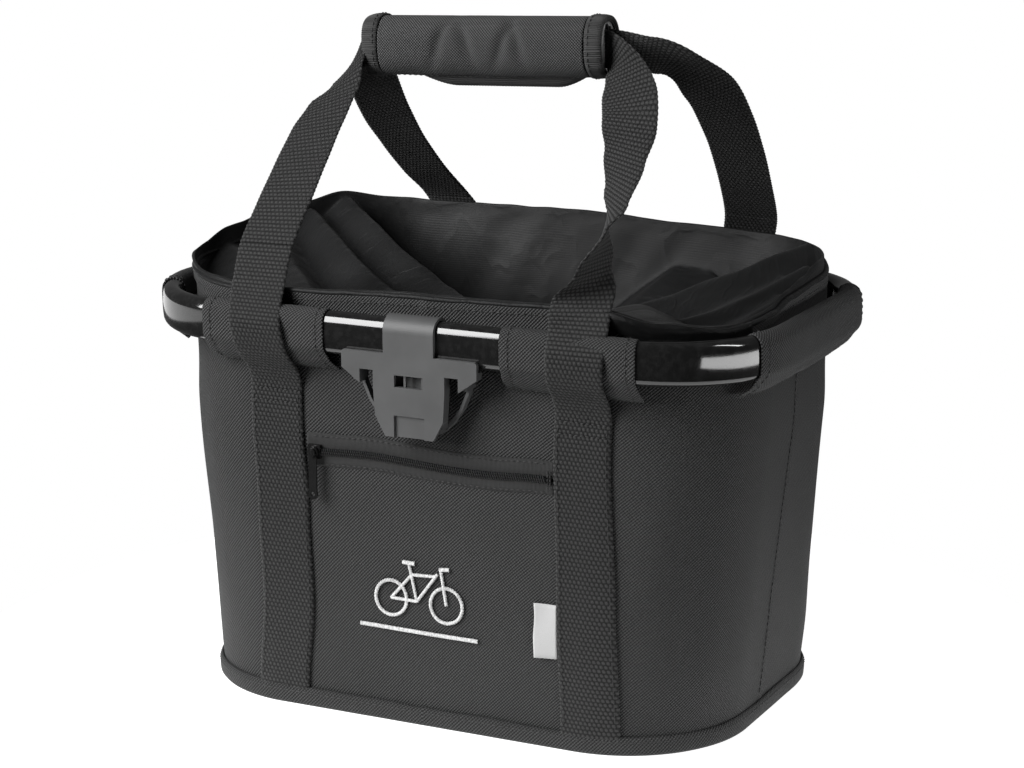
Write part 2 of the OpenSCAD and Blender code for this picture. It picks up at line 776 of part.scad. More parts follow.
rim_tube();
rim_joiner();
rim_rivets();
adapter_plate();
adapter_jaw();
adapter_screws();
front_panel();
back_panel();
base_panel();
base_board();
base_binding();
stiffener_front();
stiffener_back();
stiffener_left();
stiffener_right();
lining_bag();
cuff();
lining_collar();
sleeve_front_left();
sleeve_front_right();
sleeve_left();
sleeve_right();
sleeve_rear_left();
sleeve_rear_right();
pocket_bag();
zip_tape_upper();
zip_tape_lower();
zip_coils();
zip_stops();
zip_slider();
zip_puller();
strap_front_left();
strap_front_right();
strap_rear_left();
strap_rear_right();
handle_leg_front_left();
handle_leg_front_right();
handle_leg_rear_left();
handle_leg_rear_right();
handle_web_front();
handle_web_rear();
grip_pad();
grip_cover();
grip_flap();
grip_hook_tape();
grip_loop_tape();
grip_binding_left();
grip_binding_right();
label_tab();
front_emblem();
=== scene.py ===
"""Handlebar basket: fabric, webbing, tube, adapter and grip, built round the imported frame.
Shapes are worked out in millimetres and built in metres. +X is the basket's right, -Y its front."""

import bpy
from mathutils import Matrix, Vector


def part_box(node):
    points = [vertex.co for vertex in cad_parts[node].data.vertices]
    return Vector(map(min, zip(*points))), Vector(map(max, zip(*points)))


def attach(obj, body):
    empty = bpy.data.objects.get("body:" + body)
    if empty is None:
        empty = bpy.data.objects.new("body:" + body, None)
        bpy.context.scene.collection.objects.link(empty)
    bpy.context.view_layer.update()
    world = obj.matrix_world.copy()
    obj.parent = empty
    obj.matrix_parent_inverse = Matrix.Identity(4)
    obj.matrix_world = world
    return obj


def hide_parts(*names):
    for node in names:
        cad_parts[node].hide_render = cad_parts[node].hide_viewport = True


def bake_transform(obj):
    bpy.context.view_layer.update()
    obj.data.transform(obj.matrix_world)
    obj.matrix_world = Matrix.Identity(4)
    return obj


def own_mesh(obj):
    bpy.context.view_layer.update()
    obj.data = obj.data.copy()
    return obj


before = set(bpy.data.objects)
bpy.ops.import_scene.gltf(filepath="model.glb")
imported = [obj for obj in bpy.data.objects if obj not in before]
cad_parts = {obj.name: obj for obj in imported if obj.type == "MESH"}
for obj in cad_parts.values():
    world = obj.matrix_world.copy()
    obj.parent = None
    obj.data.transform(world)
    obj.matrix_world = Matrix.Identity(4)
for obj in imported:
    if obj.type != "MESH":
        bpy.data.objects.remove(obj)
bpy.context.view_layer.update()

import math

import bpy
from mathutils import Quaternion, Vector, noise

MM = 0.001
UP = Vector((0, 0, 1))


def span(node):
    """Lowest and highest corner of a CAD node, in millimetres."""
    low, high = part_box(node)
    return low / MM, high / MM


# ------------------------------------------------------------------ sizes from the frame

RIM_LOW, RIM_HIGH = span("rim_tube")
RIM_Z = (RIM_LOW.z + RIM_HIGH.z) / 2
TUBE_H = RIM_HIGH.z - RIM_LOW.z
TUBE_T = 11
RIM = (RIM_HIGH.x - RIM_LOW.x - TUBE_T, RIM_HIGH.y - RIM_LOW.y - TUBE_T, 66 - TUBE_T / 2)
CUFF_LOW, CUFF_HIGH = span("cuff")
TOP = (CUFF_HIGH.x - CUFF_LOW.x, CUFF_HIGH.y - CUFF_LOW.y, 64)
WALL_TOP = CUFF_LOW.z
BASE_LOW, BASE_HIGH = span("base_panel")
BASE = (BASE_HIGH.x - BASE_LOW.x, BASE_HIGH.y - BASE_LOW.y, 65)
WALL_LOW = 1.5
COLLAR_TOP = span("lining_collar")[1].z
WEB_HALF = 15
WEB_T = 1.6
BEND_Z = 238  # height above which the handle's webbing follows the grip

# ------------------------------------------------------------------ outlines and walls

# Each outline, such as RIM along the tube's middle, is a (width, depth, corner radius).
SIDE_X = (0, 1, 1, 1, 1, -1, -1, -1, -1, 0)
SIDE_Y = (-1, -1, -1, 1, 1, 1, 1, -1, -1, -1)
TURN = (-90, -90, 0, 0, 90, 90, 180, 180, 270, 270)


def mix(a, b, t):
    return a + (b - a) * t


def smooth(x, low, high):
    """0 below low, 1 above high, and a soft step between them."""
    t = min(1.0, max(0.0, (x - low) / (high - low)))
    return t * t * (3 - 2 * t)


def table(stops, x):
    """Value at x through (x, value) stops, with soft steps between them."""
    if x <= stops[0][0]:
        return stops[0][1]
    for (x0, y0), (x1, y1) in zip(stops, stops[1:]):
        if x <= x1:
            return mix(y0, y1, smooth(x, x0, x1))
    return stops[-1][1]


def ripple(x, y, size, seed=0.0):
    """Smooth unevenness from -1 to 1, with bumps about size millimetres across."""
    return noise.noise(Vector((x / size, y / size, seed + 0.37)))


def outline(u, w, d, r):
    """Point and outward normal on a rounded rectangle. u runs anticlockwise from 0 at the
    front's middle to 9; 1-2, 3-4, 5-6 and 7-8 are the corners."""
    u %= 9
    i = int(u)
    x, y, turn = (mix(stops[i], stops[i + 1], u - i) for stops in (SIDE_X, SIDE_Y, TURN))
    a = math.radians(turn)
    normal = Vector((math.cos(a), math.sin(a), 0))
    return Vector((x * (w / 2 - r), y * (d / 2 - r), 0)) + normal * r, normal


def inner(u, size, inset, least=2.0, share=1.0):
    """The same on an outline drawn in by inset. Its corners lose that share of the inset."""
    w, d, r = size
    return outline(u, w - 2 * inset, d - 2 * inset, max(least, r - inset * share))


def wall_size(z):
    t = min(1.0, max(0.0, (z - WALL_LOW) / (WALL_TOP - WALL_LOW)))
    return [mix(a, b, t) for a, b in zip(BASE, TOP)]


def wall(u, z, out=0.0):
    """Point on the basket's wall, out millimetres proud of it, and the outward normal."""
    p, n = outline(u, *wall_size(z))
    p += n * out
    p.z = z
    return p, n


def stations(start, end, size, step):
    """Values of u from start to end, about step millimetres apart on that outline."""
    us, last, tries = [start], outline(start, *size)[0], 1600
    for i in range(1, tries + 1):
        u = mix(start, end, i / tries)
        p = outline(u, *size)[0]
        if (p - last).length >= step * 0.98 or i == tries:
            us.append(u)
            last = p
    return us


def loop(size, step):
    """Values of u once round an outline, without the last, which is the first again."""
    return stations(0, 9, size, step)[:-1]


def signed(u):
    """The same place as u, below 0 on the left half."""
    return u if u <= 4.5 else u - 9


def along(u, size=TOP):
    """Distance round the outline from the front's middle, in millimetres."""
    w, d, r = size
    half, bend, side = w / 2 - r, math.pi * r / 2, d - 2 * r
    lengths = [half, bend, side, bend, w - 2 * r, bend, side, bend, half]
    i = min(8, int(abs(u)))
    return math.copysign(sum(lengths[:i]) + lengths[i] * (abs(u) - i), u)


def u_at_x(x, z, rear=False):
    """u of the wall's point at x, on the front or the rear."""
    w, d, r = wall_size(z)
    half = w / 2 - r
    if abs(x) <= half:
        return 4.5 - x / half / 2 if rear else x / half
    over = math.asin(min(1.0, (abs(x) - half) / r)) / (math.pi / 2)
    if rear:
        return 4 - over if x > 0 else 5 + over
    return math.copysign(1 + over, x)


def skin(u, z, out=0.0):
    """Point and normal on the outer fabric, which stands a little off its plain wall."""
    s = along(signed(u))
    edge = smooth(z, 6, 40) * (1 - smooth(z, 150, 181))
    corner = math.sin(math.pi * min(1.0, max(0.0, abs(signed(u)) - 1))) ** 2
    puff = 1.3 + 1.5 * ripple(s, z, 75, 3) + 0.8 * ripple(s, z * 0.25, 24, 5) * (0.3 + corner)
    return wall(u, z, out + puff * edge)


# ------------------------------------------------------------------ meshes


def build(name, points, faces, uvs=None, flat=False):
    """Mesh object from points in millimetres. uvs gives one (u, v) in millimetres per corner."""
    mesh = bpy.data.meshes.new(name)
    mesh.from_pydata([p * MM for p in points], [], faces)
    if uvs:
        layer = mesh.uv_layers.new(name="UVMap")
        layer.data.foreach_set("uv", [c * MM for uv in uvs for c in uv])
    if not flat:
        mesh.polygons.foreach_set("use_smooth", [True] * len(mesh.polygons))
    mesh.update()
    obj = bpy.data.objects.new(name, mesh)
    bpy.context.collection.objects.link(obj)
    return obj


def net(steps, columns, point):
    """Rows of points: point(i, j) for each of the steps and each of the columns."""
    return [[point(i, j) for j in columns] for i in steps]


def ring_faces(first, rings, sides):
    """Faces round a tube of rings, whose points are numbered from first."""
    faces = []
    for low in range(first, first + (rings - 1) * sides, sides):
        for k in range(sides):
            j = (k + 1) % sides
            faces.append((low + k, low + j, low + sides + j, low + sides + k))
    return faces


def grid(name, rows, wrap=False, cap=False, x=None, y=None):
    """Mesh through rows of points. wrap joins each row's ends, and cap closes the first and
    last row. Its UVs are x and y, or else the distances along and across the middle rows."""
    n, m = len(rows), len(rows[0])
    middle, third = rows[n // 2], [row[m // 3] for row in rows]
    cols = m + 1 if wrap else m
    if x is None:
        x, y = [0.0], [0.0]
        for j in range(1, cols):
            x.append(x[-1] + (middle[j % m] - middle[j - 1]).length)
        for a, b in zip(third, third[1:]):
            y.append(y[-1] + (b - a).length)
    faces, uvs = [], []
    for i in range(n - 1):
        for j in range(cols - 1):
            k = (j + 1) % m
            faces.append((i * m + j, i * m + k, (i + 1) * m + k, (i + 1) * m + j))
            uvs += [(x[j], y[i]), (x[j + 1], y[i]), (x[j + 1], y[i + 1]), (x[j], y[i + 1])]
    if cap:
        for i, order in ((0, range(m - 1, -1, -1)), (n - 1, range(m))):
            faces.append([i * m + j for j in order])
            uvs += [(x[j], y[i]) for j in order]
    return build(name, [p for row in rows for p in row], faces, uvs)


def modify(obj, kind, **settings):
    modifier = obj.modifiers.new(kind.title(), kind)
    for key, value in settings.items():
        setattr(modifier, key, value)


def finish_piece(obj, material, *nodes, body="basket", slot="oxford_fabric"):
    """Gives a piece its material and its body, and hides the CAD nodes that it stands for. Its slot is not
    used.
    """
    obj.data.materials.append(material)
    if body:
        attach(obj, body)
    if nodes:
        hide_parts(*nodes)
    return obj


def cloth(name, rows, thickness, material, *nodes, wrap=False, offset=-1.0, **where):
    """A finished piece of cloth of that thickness, through rows of points."""
    obj = grid(name, rows, wrap)
    modify(obj, "SOLIDIFY", thickness=thickness * MM, offset=offset, use_even_offset=False)
    return finish_piece(obj, material, *nodes, **where)


class Track:
    """Finds places by their distance along a line of points, from its start onwards."""

    def __init__(self, points):
        self.points, self.dist, self.i = points, [0.0], 0
        for a, b in zip(points, points[1:]):
            self.dist.append(self.dist[-1] + (b - a).length)
        self.length = self.dist[-1]

    def at(self, d):
        """The point at distance d, which never goes back, and the number of the point before."""
        while self.i < len(self.dist) - 2 and self.dist[self.i + 1] < d:
            self.i += 1
        i, dist = self.i, self.dist
        t = (d - dist[i]) / max(1e-9, dist[i + 1] - dist[i])
        return self.points[i].lerp(self.points[i + 1], min(1.0, t)), i


def spline(points, step):
    """Catmull-Rom curve through points, as a list about step millimetres apart."""
    ends = [2 * points[0] - points[1], *points, 2 * points[-1] - points[-2]]
    fine, pieces = [], 24
    for a, b, c, d in zip(ends, ends[1:], ends[2:], ends[3:]):
        for t in (k / pieces for k in range(pieces)):
            fine.append(0.5 * (2 * b + (c - a) * t + (2 * a - 5 * b + 4 * c - d) * t * t
                               + (3 * b - a - 3 * c + d) * t ** 3))
    track = Track(fine + [points[-1].copy()])
    n = max(2, round(track.length / step))
    return [track.at(track.length * k / n)[0] for k in range(n + 1)]


# ------------------------------------------------------------------ materials


class Nodes:
    """A node tree, built with short calls."""

    def __init__(self, tree):
        self.tree = tree

    def add(self, kind, inputs=None, **settings):
        """A new node with its settings, fed by sockets or by values."""
        node = self.tree.nodes.new("ShaderNode" + kind)
        for key, value in settings.items():
            setattr(node, key, value)
        for key, value in (inputs or {}).items():
            self.feed(node.inputs[key], value)
        return node

    def feed(self, socket, value):
        if isinstance(value, bpy.types.NodeSocket):
            self.tree.links.new(value, socket)
        else:
            socket.default_value = value

    def math(self, operation, *values):
        return self.add("Math", dict(enumerate(values)), operation=operation).outputs[0]

    def times(self, a, b):
        return self.math("MULTIPLY", a, b)

    def plus(self, a, share, b):
        """share of a, added to b."""
        return self.math("MULTIPLY_ADD", a, share, b)

    def scaled(self, value, low, high, start=0.0, end=1.0):
        """low to high as value goes from start to end."""
        ends = {"From Min": start, "From Max": end, "To Min": low, "To Max": high}
        return self.add("MapRange", {"Value": value, **ends}).outputs[0]


class Paint(Nodes):
    """One material's nodes."""

    def __init__(self, name, roughness, **shader):
        self.material = bpy.data.materials.new(name)
        self.material.use_nodes = True
        super().__init__(self.material.node_tree)
        self.shader = self.tree.nodes["Principled BSDF"]
        for key, value in {"roughness": roughness, **shader}.items():
            socket = key.replace("_", " ").title().replace("Ior", "IOR")
            self.shader.inputs[socket].default_value = value

    def place(self):
        """The UVs in millimetres, as two sockets and as one."""
        uv = self.add("UVMap", uv_map="UVMap").outputs["UV"]
        big = self.add("VectorMath", {0: uv, 1: (1000, 1000, 1000)}, operation="MULTIPLY")
        xyz = self.add("SeparateXYZ", {0: big.outputs[0]})
        return xyz.outputs[0], xyz.outputs[1], big.outputs[0]

    def wave(self, x, period):
        """A row of round threads across x: 0 in the gaps, 1 on top."""
        return self.math("ABSOLUTE", self.math("SINE", self.times(x, math.pi / period)))

    def noise(self, scale, detail=3.0, vector=None, rough=0.5):
        """Noise from 0 to 1, in object space with scale in repeats per metre unless vector is given."""
        vector = vector or self.add("TexCoord").outputs["Object"]
        inputs = {"Scale": scale, "Detail": detail, "Roughness": rough, "Vector": vector}
        return self.add("TexNoise", inputs).outputs[0]

    def blend(self, factor, a, b, kind="MIX"):
        node = self.add("Mix", data_type="RGBA", blend_type=kind)
        for key, value in (("Factor", factor), (6, a), (7, b)):
            self.feed(node.inputs[key], value)
        return node.outputs[2]

    def ramp(self, value, low, high, dark, light, tint=0.0):
        """A grey from dark to light as value goes from low to high, a little bluer with tint."""
        ends = [(level * (1 - tint), level, level * (1 + tint), 1) for level in (dark, light)]
        return self.blend(self.scaled(value, 0.0, 1.0, low, high), *ends)

    def scale_colour(self, colour, value, low, high):
        """The colour times low to high as value goes from 0 to 1."""
        share = self.scaled(value, low, high)
        grey = self.add("CombineColor", {0: share, 1: share, 2: share})
        return self.blend(1.0, colour, grey.outputs[0], "MULTIPLY")

    def bump(self, height, distance, strength=1.0, under=None):
        inputs = {"Height": height, "Distance": distance * MM, "Strength": strength}
        if under is not None:
            inputs["Normal"] = under
        return self.add("Bump", inputs).outputs[0]

    def done(self, colour, normal, roughness=None):
        """The material, with what its nodes made."""
        for key, value in (("Base Color", colour), ("Normal", normal), ("Roughness", roughness)):
            if value is not None:
                self.feed(self.shader.inputs[key], value)
        return self.material


ROW, COLUMN = 2.2, 2.3  # pitch of the webbing's rows, and of the knobs in a row
DULL = {"sheen_weight": 0.03, "sheen_roughness": 0.5}  # the faint sheen of matt yarn


def oxford(name, level, cell=0.95):
    """Coated oxford: a plain weave of round yarns with painted shade in the gaps between them, and dust and
    slight fading.
    """
    p = Paint(name, 0.7, specular_ior_level=0.3, **DULL)
    x, y, uv = p.place()
    turn = math.pi / cell
    a, b = (p.math("SINE", p.times(way, turn)) for way in (x, y))
    c = p.math("COSINE", p.times(p.math("SUBTRACT", x, y), turn))
    weave = p.plus(c, 0.14, p.plus(p.times(a, b), 0.42, 0.5))
    yarn = p.noise(1.1, 2.0, uv)
    # Painted shade: the gaps between the yarns are darker, and the yarn crowns lighter, by the weave's
    # height.
    colour = p.ramp(weave, 0.3, 0.75, level * 0.05, level * 2.3, 0.01)
    colour = p.scale_colour(colour, yarn, 0.45, 1.55)
    colour = p.scale_colour(colour, p.noise(18, 4.0), 0.78, 1.22)
    soft = p.bump(p.noise(60, 2.0), 0.5, 0.5)
    return p.done(colour, p.bump(p.plus(yarn, 0.35, weave), 0.5, 1.0, soft))


def webbing(name, level):
    """Coarse webbing: the weave's knobs are in the mesh, and this adds each yarn's filaments, with painted
    shade between the knobs and a painted highlight on their tops.
    """
    p = Paint(name, 0.62, specular_ior_level=0.3, **DULL)
    x, y, uv = p.place()
    row = p.math("DIVIDE", y, ROW)
    odd = p.times(p.math("MODULO", p.math("FLOOR", row), 2.0), COLUMN / 2)
    shifted = p.plus(p.math("FRACT", row), 0.5, p.math("ADD", x, odd))
    knob = p.times(p.wave(shifted, COLUMN), p.wave(y, ROW))
    filament = p.wave(p.plus(y, 0.35, x), 0.42)
    # Painted shade in the gaps between the knobs and a painted highlight on their tops, by the knobs'
    # height.
    colour = p.ramp(knob, 0.2, 0.75, level * 0.03, level * 2.7)
    colour = p.scale_colour(colour, p.noise(1.2, 2.0, uv), 0.6, 1.4)
    return p.done(colour, p.bump(p.plus(filament, 0.3, knob), 0.5))


def lining(name, level, rough=0.45):
    """Smooth taffeta: fine plain weave, soft creases and a slight sheen."""
    p = Paint(name, rough, specular_ior_level=0.14, sheen_weight=0.03)
    x, y, uv = p.place()
    weave = p.times(p.wave(x, 0.35), p.wave(y, 0.35))
    stretch = p.add("VectorMath", {0: uv, 1: (1, 2.6, 1)}, operation="MULTIPLY").outputs[0]
    crease = p.noise(0.035, 2.0, stretch)
    line = p.times(p.math("ABSOLUTE", p.math("SUBTRACT", crease, 0.5)), 14.0)
    sharp = p.math("SUBTRACT", 1.0, p.math("MINIMUM", line, 1.0))
    soft = p.plus(sharp, 0.35, p.times(crease, 2.0))
    colour = p.ramp(p.noise(22), 0.3, 0.7, level * 0.8, level * 1.2, 0.02)
    return p.done(colour, p.bump(weave, 0.06, 0.6, p.bump(soft, 1.2, 0.4)))


def ribbed(name, level, rib=1.1):
    """Grosgrain tape: ribs across its length, with painted shade between them."""
    p = Paint(name, 0.75, specular_ior_level=0.25, **DULL)
    x, y, uv = p.place()
    ribs = p.wave(x, rib)
    # Painted shade: the grooves between the ribs are darker.
    colour = p.ramp(ribs, 0.1, 0.9, level * 0.4, level * 1.5)
    colour = p.scale_colour(colour, p.noise(1.5, 2.0, uv), 0.7, 1.3)
    return p.done(colour, p.bump(p.plus(p.wave(y, 0.5), 0.25, ribs), 0.3, 0.8))


def thread(name, level):
    """Sewing thread: twisted strands."""
    p = Paint(name, 0.55, specular_ior_level=0.4)
    strands = p.noise(900, 2.0)
    colour = p.ramp(strands, 0.3, 0.7, level * 0.7, level * 1.3)
    return p.done(colour, p.bump(strands, 0.1, 0.6))


def moulded(name, level, rough, tint=0.0, grain=1400, depth=0.05, spec=0.4):
    """Moulded plastic: fine spark-eroded grain with flow marks."""
    p = Paint(name, rough, specular_ior_level=spec)
    fine, flow = p.noise(grain, 2.0), p.noise(45, 4.0, None, 0.6)
    colour = p.ramp(flow, 0.3, 0.7, level * 0.9, level * 1.1, tint)
    return p.done(colour, p.bump(fine, depth, 0.6), p.scaled(flow, rough * 0.9, rough * 1.12))


def gloss_tube(name):
    """Gloss black enamel on the tube, with the faintest orange peel."""
    p = Paint(name, 0.08, specular_ior_level=0.7)
    dust = p.noise(260, 4.0, None, 0.7)
    colour = p.ramp(dust, 0.45, 0.75, 0.009, 0.018)
    return p.done(colour, p.bump(p.noise(140, 2.0), 0.03, 0.25), p.scaled(dust, 0.06, 0.14))


def metal(name, level, rough):
    """Bare or plated metal with fine brushing."""
    p = Paint(name, rough, metallic=1.0)
    scratch = p.noise(700)
    colour = p.ramp(scratch, 0.3, 0.7, level * 0.85, level * 1.1)
    return p.done(colour, p.bump(scratch, 0.02, 0.4))


def foam(name, level):
    """Open-cell foam."""
    p = Paint(name, 0.95)
    vector = p.add("TexCoord").outputs["Object"]
    cells = p.add("TexVoronoi", {"Scale": 900.0, "Vector": vector}).outputs[0]
    return p.done(p.ramp(cells, 0.0, 0.6, level * 0.5, level * 1.2), p.bump(cells, 0.5, 0.8))


def satin_cloth(name):
    """White satin label: fine diagonal threads, with painted shade between them."""
    p = Paint(name, 0.45, specular_ior_level=0.5, sheen_weight=0.2)
    x, y, uv = p.place()
    twill = p.wave(p.math("ADD", x, y), 0.5)
    # Painted shade: the grooves between the threads are darker.
    return p.done(p.ramp(twill, 0.0, 1.0, 0.36, 0.47), p.bump(twill, 0.1, 0.6))


OXFORD = oxford("oxford_fabric", 0.017)
# A lighter copy of the oxford for the cuff and the sleeves: painted light from above.
OXFORD_TRIM_LIT = oxford("oxford_trim_painted_light", 0.023)
# A lighter copy of the oxford for the grip: painted light from above. Its finer weave is the grip's own.
OXFORD_GRIP_LIT = oxford("oxford_grip_painted_light", 0.036, 0.78)
WEBBING = webbing("black_webbing", 0.0125)
LINING = lining("lining_nylon", 0.0092)
# A darker, glossier copy of the lining. Its darkness is painted shade on the fold pulled over the cuff.
LINING_SHADED_GLOSS = lining("lining_nylon_shaded", 0.004, 0.3)
TAPE = ribbed("binding_tape", 0.030)
THREAD = thread("black_thread", 0.022)
THREAD_LIGHT = thread("emblem_thread", 0.55)
TUBE = gloss_tube("gloss_black_tube")
ADAPTER = moulded("adapter_grey", 0.066, 0.5, 0.01)
ZIP_PLASTIC = moulded("zip_plastic", 0.012, 0.3, 0.0, 900, 0.02)
ZIP_METAL = moulded("zip_enamel", 0.008, 0.22, 0.0, 500, 0.02, 0.6)
ZIP_TAPE = ribbed("zip_tape", 0.022, 0.7)
TOUCH = foam("touch_tape", 0.02)
STEEL = metal("fastener_steel", 0.55, 0.32)
ALUMINIUM = metal("joiner_aluminium", 0.7, 0.4)
FOAM = foam("foam", 0.3)
BOARD = moulded("base_board", 0.12, 0.7)
LABEL = satin_cloth("label_satin")

# ------------------------------------------------------------------ stitches


class Seam:
    """Rows of raised stitches, gathered into one piece."""

    def __init__(self, name, **where):
        self.name, self.where = name, where
        self.points, self.faces = [], []

    def stitch(self, a, b, normal, radius):
        """One stitch from a to b: a short rounded bar that dips in at both ends."""
        side = (b - a).normalized().cross(normal).normalized()
        first, sides = len(self.points), 6
        rings = ((0, 0.25, -0.6), (0.2, 0.85, 0.1), (0.5, 1, 0.3), (0.8, 0.85, 0.1), (1, 0.25, -0.6))
        for t, size, lift in rings:
            centre = a.lerp(b, t) + normal * (lift * radius)
            for k in range(sides):
                angle = k * math.pi / 3
                reach = side * math.cos(angle) + normal * math.sin(angle)
                self.points.append(centre + reach * (radius * size))
        self.faces += ring_faces(first, len(rings), sides)
        last = len(self.points) - sides
        self.faces += [tuple(range(first + sides - 1, first - 1, -1)), tuple(range(last, last + sides))]

    def line(self, pairs, length=2.6, pitch=3.5, radius=0.28):
        """Stitches along (point, normal) pairs, which lie close together."""
        track = Track([point for point, normal in pairs])
        at = pitch / 2
        while at + length < track.length:
            start, i = track.at(at)
            self.stitch(start, track.at(at + length)[0], pairs[i][1], radius)
            at += pitch
        return self

    def make(self):
        return finish_piece(build(self.name, self.points, self.faces), THREAD, **self.where)

# ------------------------------------------------------------------ rim tube


def make_tube():
    """Flat-oval tube bent round the rim, with its joint at the rear's middle."""
    half_t = TUBE_T / 2
    straight = TUBE_H / 2 - half_t
    section = []
    for sign in (1, -1):
        for a in (math.pi * k / 12 for k in range(13)):
            section.append((sign * half_t * math.cos(a), sign * (straight + half_t * math.sin(a))))
        for v in (1 - k / 4 for k in range(1, 8)):  # the flat sides are very slightly crowned
            section.append((-sign * (half_t + 0.3 * (1 - v * v)), sign * straight * v))
    gap = 0.3 / (RIM[0] - 2 * RIM[2])
    rows = []
    for u in stations(4.5 + gap, 13.5 - gap, RIM, 2.0):
        p, n = outline(u, *RIM)
        rows.append([p + n * a + UP * (RIM_Z + b) for a, b in section])
    tube = grid("rim_tube_bent", rows, wrap=True, cap=True)
    finish_piece(tube, TUBE, "rim_tube", slot="tube")


# ------------------------------------------------------------------ fabric body


def seam_u(z, right):
    """u of a side seam, which leans forward towards the base."""
    low, high = (-12, 2) if right else (-8, -3)
    w, d, r = wall_size(z)
    u = 2 + (1 + mix(low, high, (z - 18) / 154) / (d / 2 - r)) / 2
    return u if right else -u


def make_body():
    """The front and rear panels, and the seams that join them at the sides."""
    columns = 170

    def point(i, j):
        z = WALL_LOW + (WALL_TOP - WALL_LOW) * i / 80
        right, left = seam_u(z, True), seam_u(z, False)
        start, end = (left, right) if front else (right, left + 9)
        turned = 0.5 * smooth(j, columns - 2, columns) if front else 0
        return skin(mix(start, end, j / columns), z, turned)[0]

    for side, front in (("front", True), ("back", False)):
        rows = net(range(81), range(columns + 1), point)
        cloth(side + "_panel_cloth", rows, 1.0, OXFORD, side + "_panel")
    seams = Seam("side_seam_stitches")
    heights = [mix(12, 182, i / 119) for i in range(120)]
    for right, shift in ((True, -0.05), (False, 0.05)):
        seams.line([skin(seam_u(z, right) + shift, z, 0.35) for z in heights])
    seams.make()


def make_base():
    """Fabric under the base, and the folded binding round its edge."""
    profile = [(-7, 0.5), (-1, 0.15), (1.3, 0.3), (2.3, 1.6), (2.5, 4.5), (2.4, 7.0),
               (2.1, 8.8), (1.5, 9.8), (0.6, 10.0), (0.2, 9.4)]
    us = loop(BASE, 3.0)

    def binding(k, u):
        out, z = profile[k]
        s, share = along(u, BASE), k / (len(profile) - 1)
        loose = 0.45 * ripple(s, 0, 17, 7) * share
        high = 0.7 * ripple(s, 3, 23, 9) * smooth(share, 0.4, 1)
        p, n = outline(u, *BASE)
        return p + n * (out + loose) + UP * (z + high)

    rows = net(range(len(profile)), us, binding)
    cloth("base_binding_fold", rows, 0.8, OXFORD, "base_binding", wrap=True)
    pairs = []
    for u in us + us[:1]:
        p, n = outline(u, *BASE)
        pairs.append((p + n * (2.35 + 0.4 * ripple(along(u, BASE), 0, 17, 7)) + UP * 7.4, n))
    Seam("base_stitches").line(pairs).make()

    def under(k, u):
        share = k / 12
        p = inner(u, BASE, mix(6.5, BASE[1] / 2 - 4, share ** 0.8))[0]
        sag = 0.6 * smooth(share, 0, 0.5) + 0.25 * ripple(p.x, p.y, 40, 12)
        return Vector((p.x, p.y, 0.35 + max(0.0, sag)))

    rings = net(range(12, -1, -1), loop(BASE, 8.0), under)
    cloth("base_cloth", rings, 0.8, OXFORD, "base_panel", wrap=True, offset=1.0)


# ------------------------------------------------------------------ cuff and lining

# Heights of the cuff's and the lining's edges, as (u from the front's middle, height).
CUFF_RIGHT = [(0.0, 222), (0.7, 223), (1.0, 222.5), (1.3, 217), (1.62, 213.5), (2.0, 217),
              (2.34, 220), (3.05, 222), (3.7, 228), (4.5, 229)]
CUFF_LEFT = [(0.0, 222), (0.7, 220), (1.1, 217.5), (1.5, 219.5), (1.8, 221), (2.4, 223),
             (3.1, 226), (3.7, 228), (4.5, 229)]
LINING_RIGHT = [(0.0, 223.6), (1.0, 224.2), (1.3, 218.5), (1.62, 215.5), (2.0, 219.5),
                (2.34, 223.5), (2.7, 226), (3.05, 230), (3.5, 231.4), (3.95, 232), (4.15, 233.4),
                (4.5, 236.3)]
LINING_LEFT = [(0.0, 223.6), (0.9, 219.5), (1.4, 221.5), (1.81, 226), (2.3, 232), (2.8, 233),
               (3.25, 235.5), (3.5, 240), (3.75, 236.2), (4.0, 235.6), (4.5, 236.3)]

LINING_T = 0.5  # drawn thickness of the nylon

# Folds of the loose lining, as ridges from one point to another: the slope on the left and
# on the right of that way, and how far the ridge sags between its ends.
FOLDS = [
    ((-146, 80, 239), (2, -44, 208), 1.3, 0.85, 3),
    ((-150, 54, 232), (-38, -54, 213), 1.1, 0.75, 3),
    ((-158, 22, 229), (-74, -74, 213), 0.9, 0.4, 3),
    ((-110, -66, 210), (16, -70, 206), 0.35, 0.3, 0),
    ((-165, -10, 226), (-104, -72, 214), 0.6, 0.35, 2),
    ((140, 70, 232), (76, -30, 209), 0.45, 0.95, 1),
    ((156, 28, 229), (116, -48, 211), 0.5, 0.5, 3),
    ((160, -5, 222), (140, -52, 208), 0.4, 0.4, 1),
    ((64, 96, 218), (34, 46, 178), 0.55, 0.45, 0),
]


def around(u, right, left):
    """Looks a table up by the distance round from the front's middle, on either side."""
    return table(right, u) if u <= 4.5 else table(left, 9 - u)


def cuff_top(u):
    """Height of the cuff's folded edge round the basket."""
    return around(u, CUFF_RIGHT, CUFF_LEFT)


def cuff_edge(u):
    """Height of the cuff's edge with its small unevenness."""
    return cuff_top(u) + 0.5 * ripple(along(u), 0, 15, 31)


def lining_edge(u):
    """Height of the lining's upper edge."""
    return around(u, LINING_RIGHT, LINING_LEFT) + 0.5 * ripple(along(u), 4, 14, 41)


def lean(u):
    """How far the loose left end of the lining and its cuff lean out of the basket."""
    return 6.0 * smooth(u, 5.2, 6.2) * (1 - smooth(u, 7.0, 7.8))


def cuff_out(u, z):
    """How far the cuff stands off the line of the wall."""
    s = along(u)
    soft = 0.9 * ripple(s, z * 0.4, 34, 21) + 0.35 * ripple(s, z, 11, 23)
    return -0.6 + smooth(z, 190, 214) * soft + 0.5 * lean(u) * smooth(z, 208, 226)


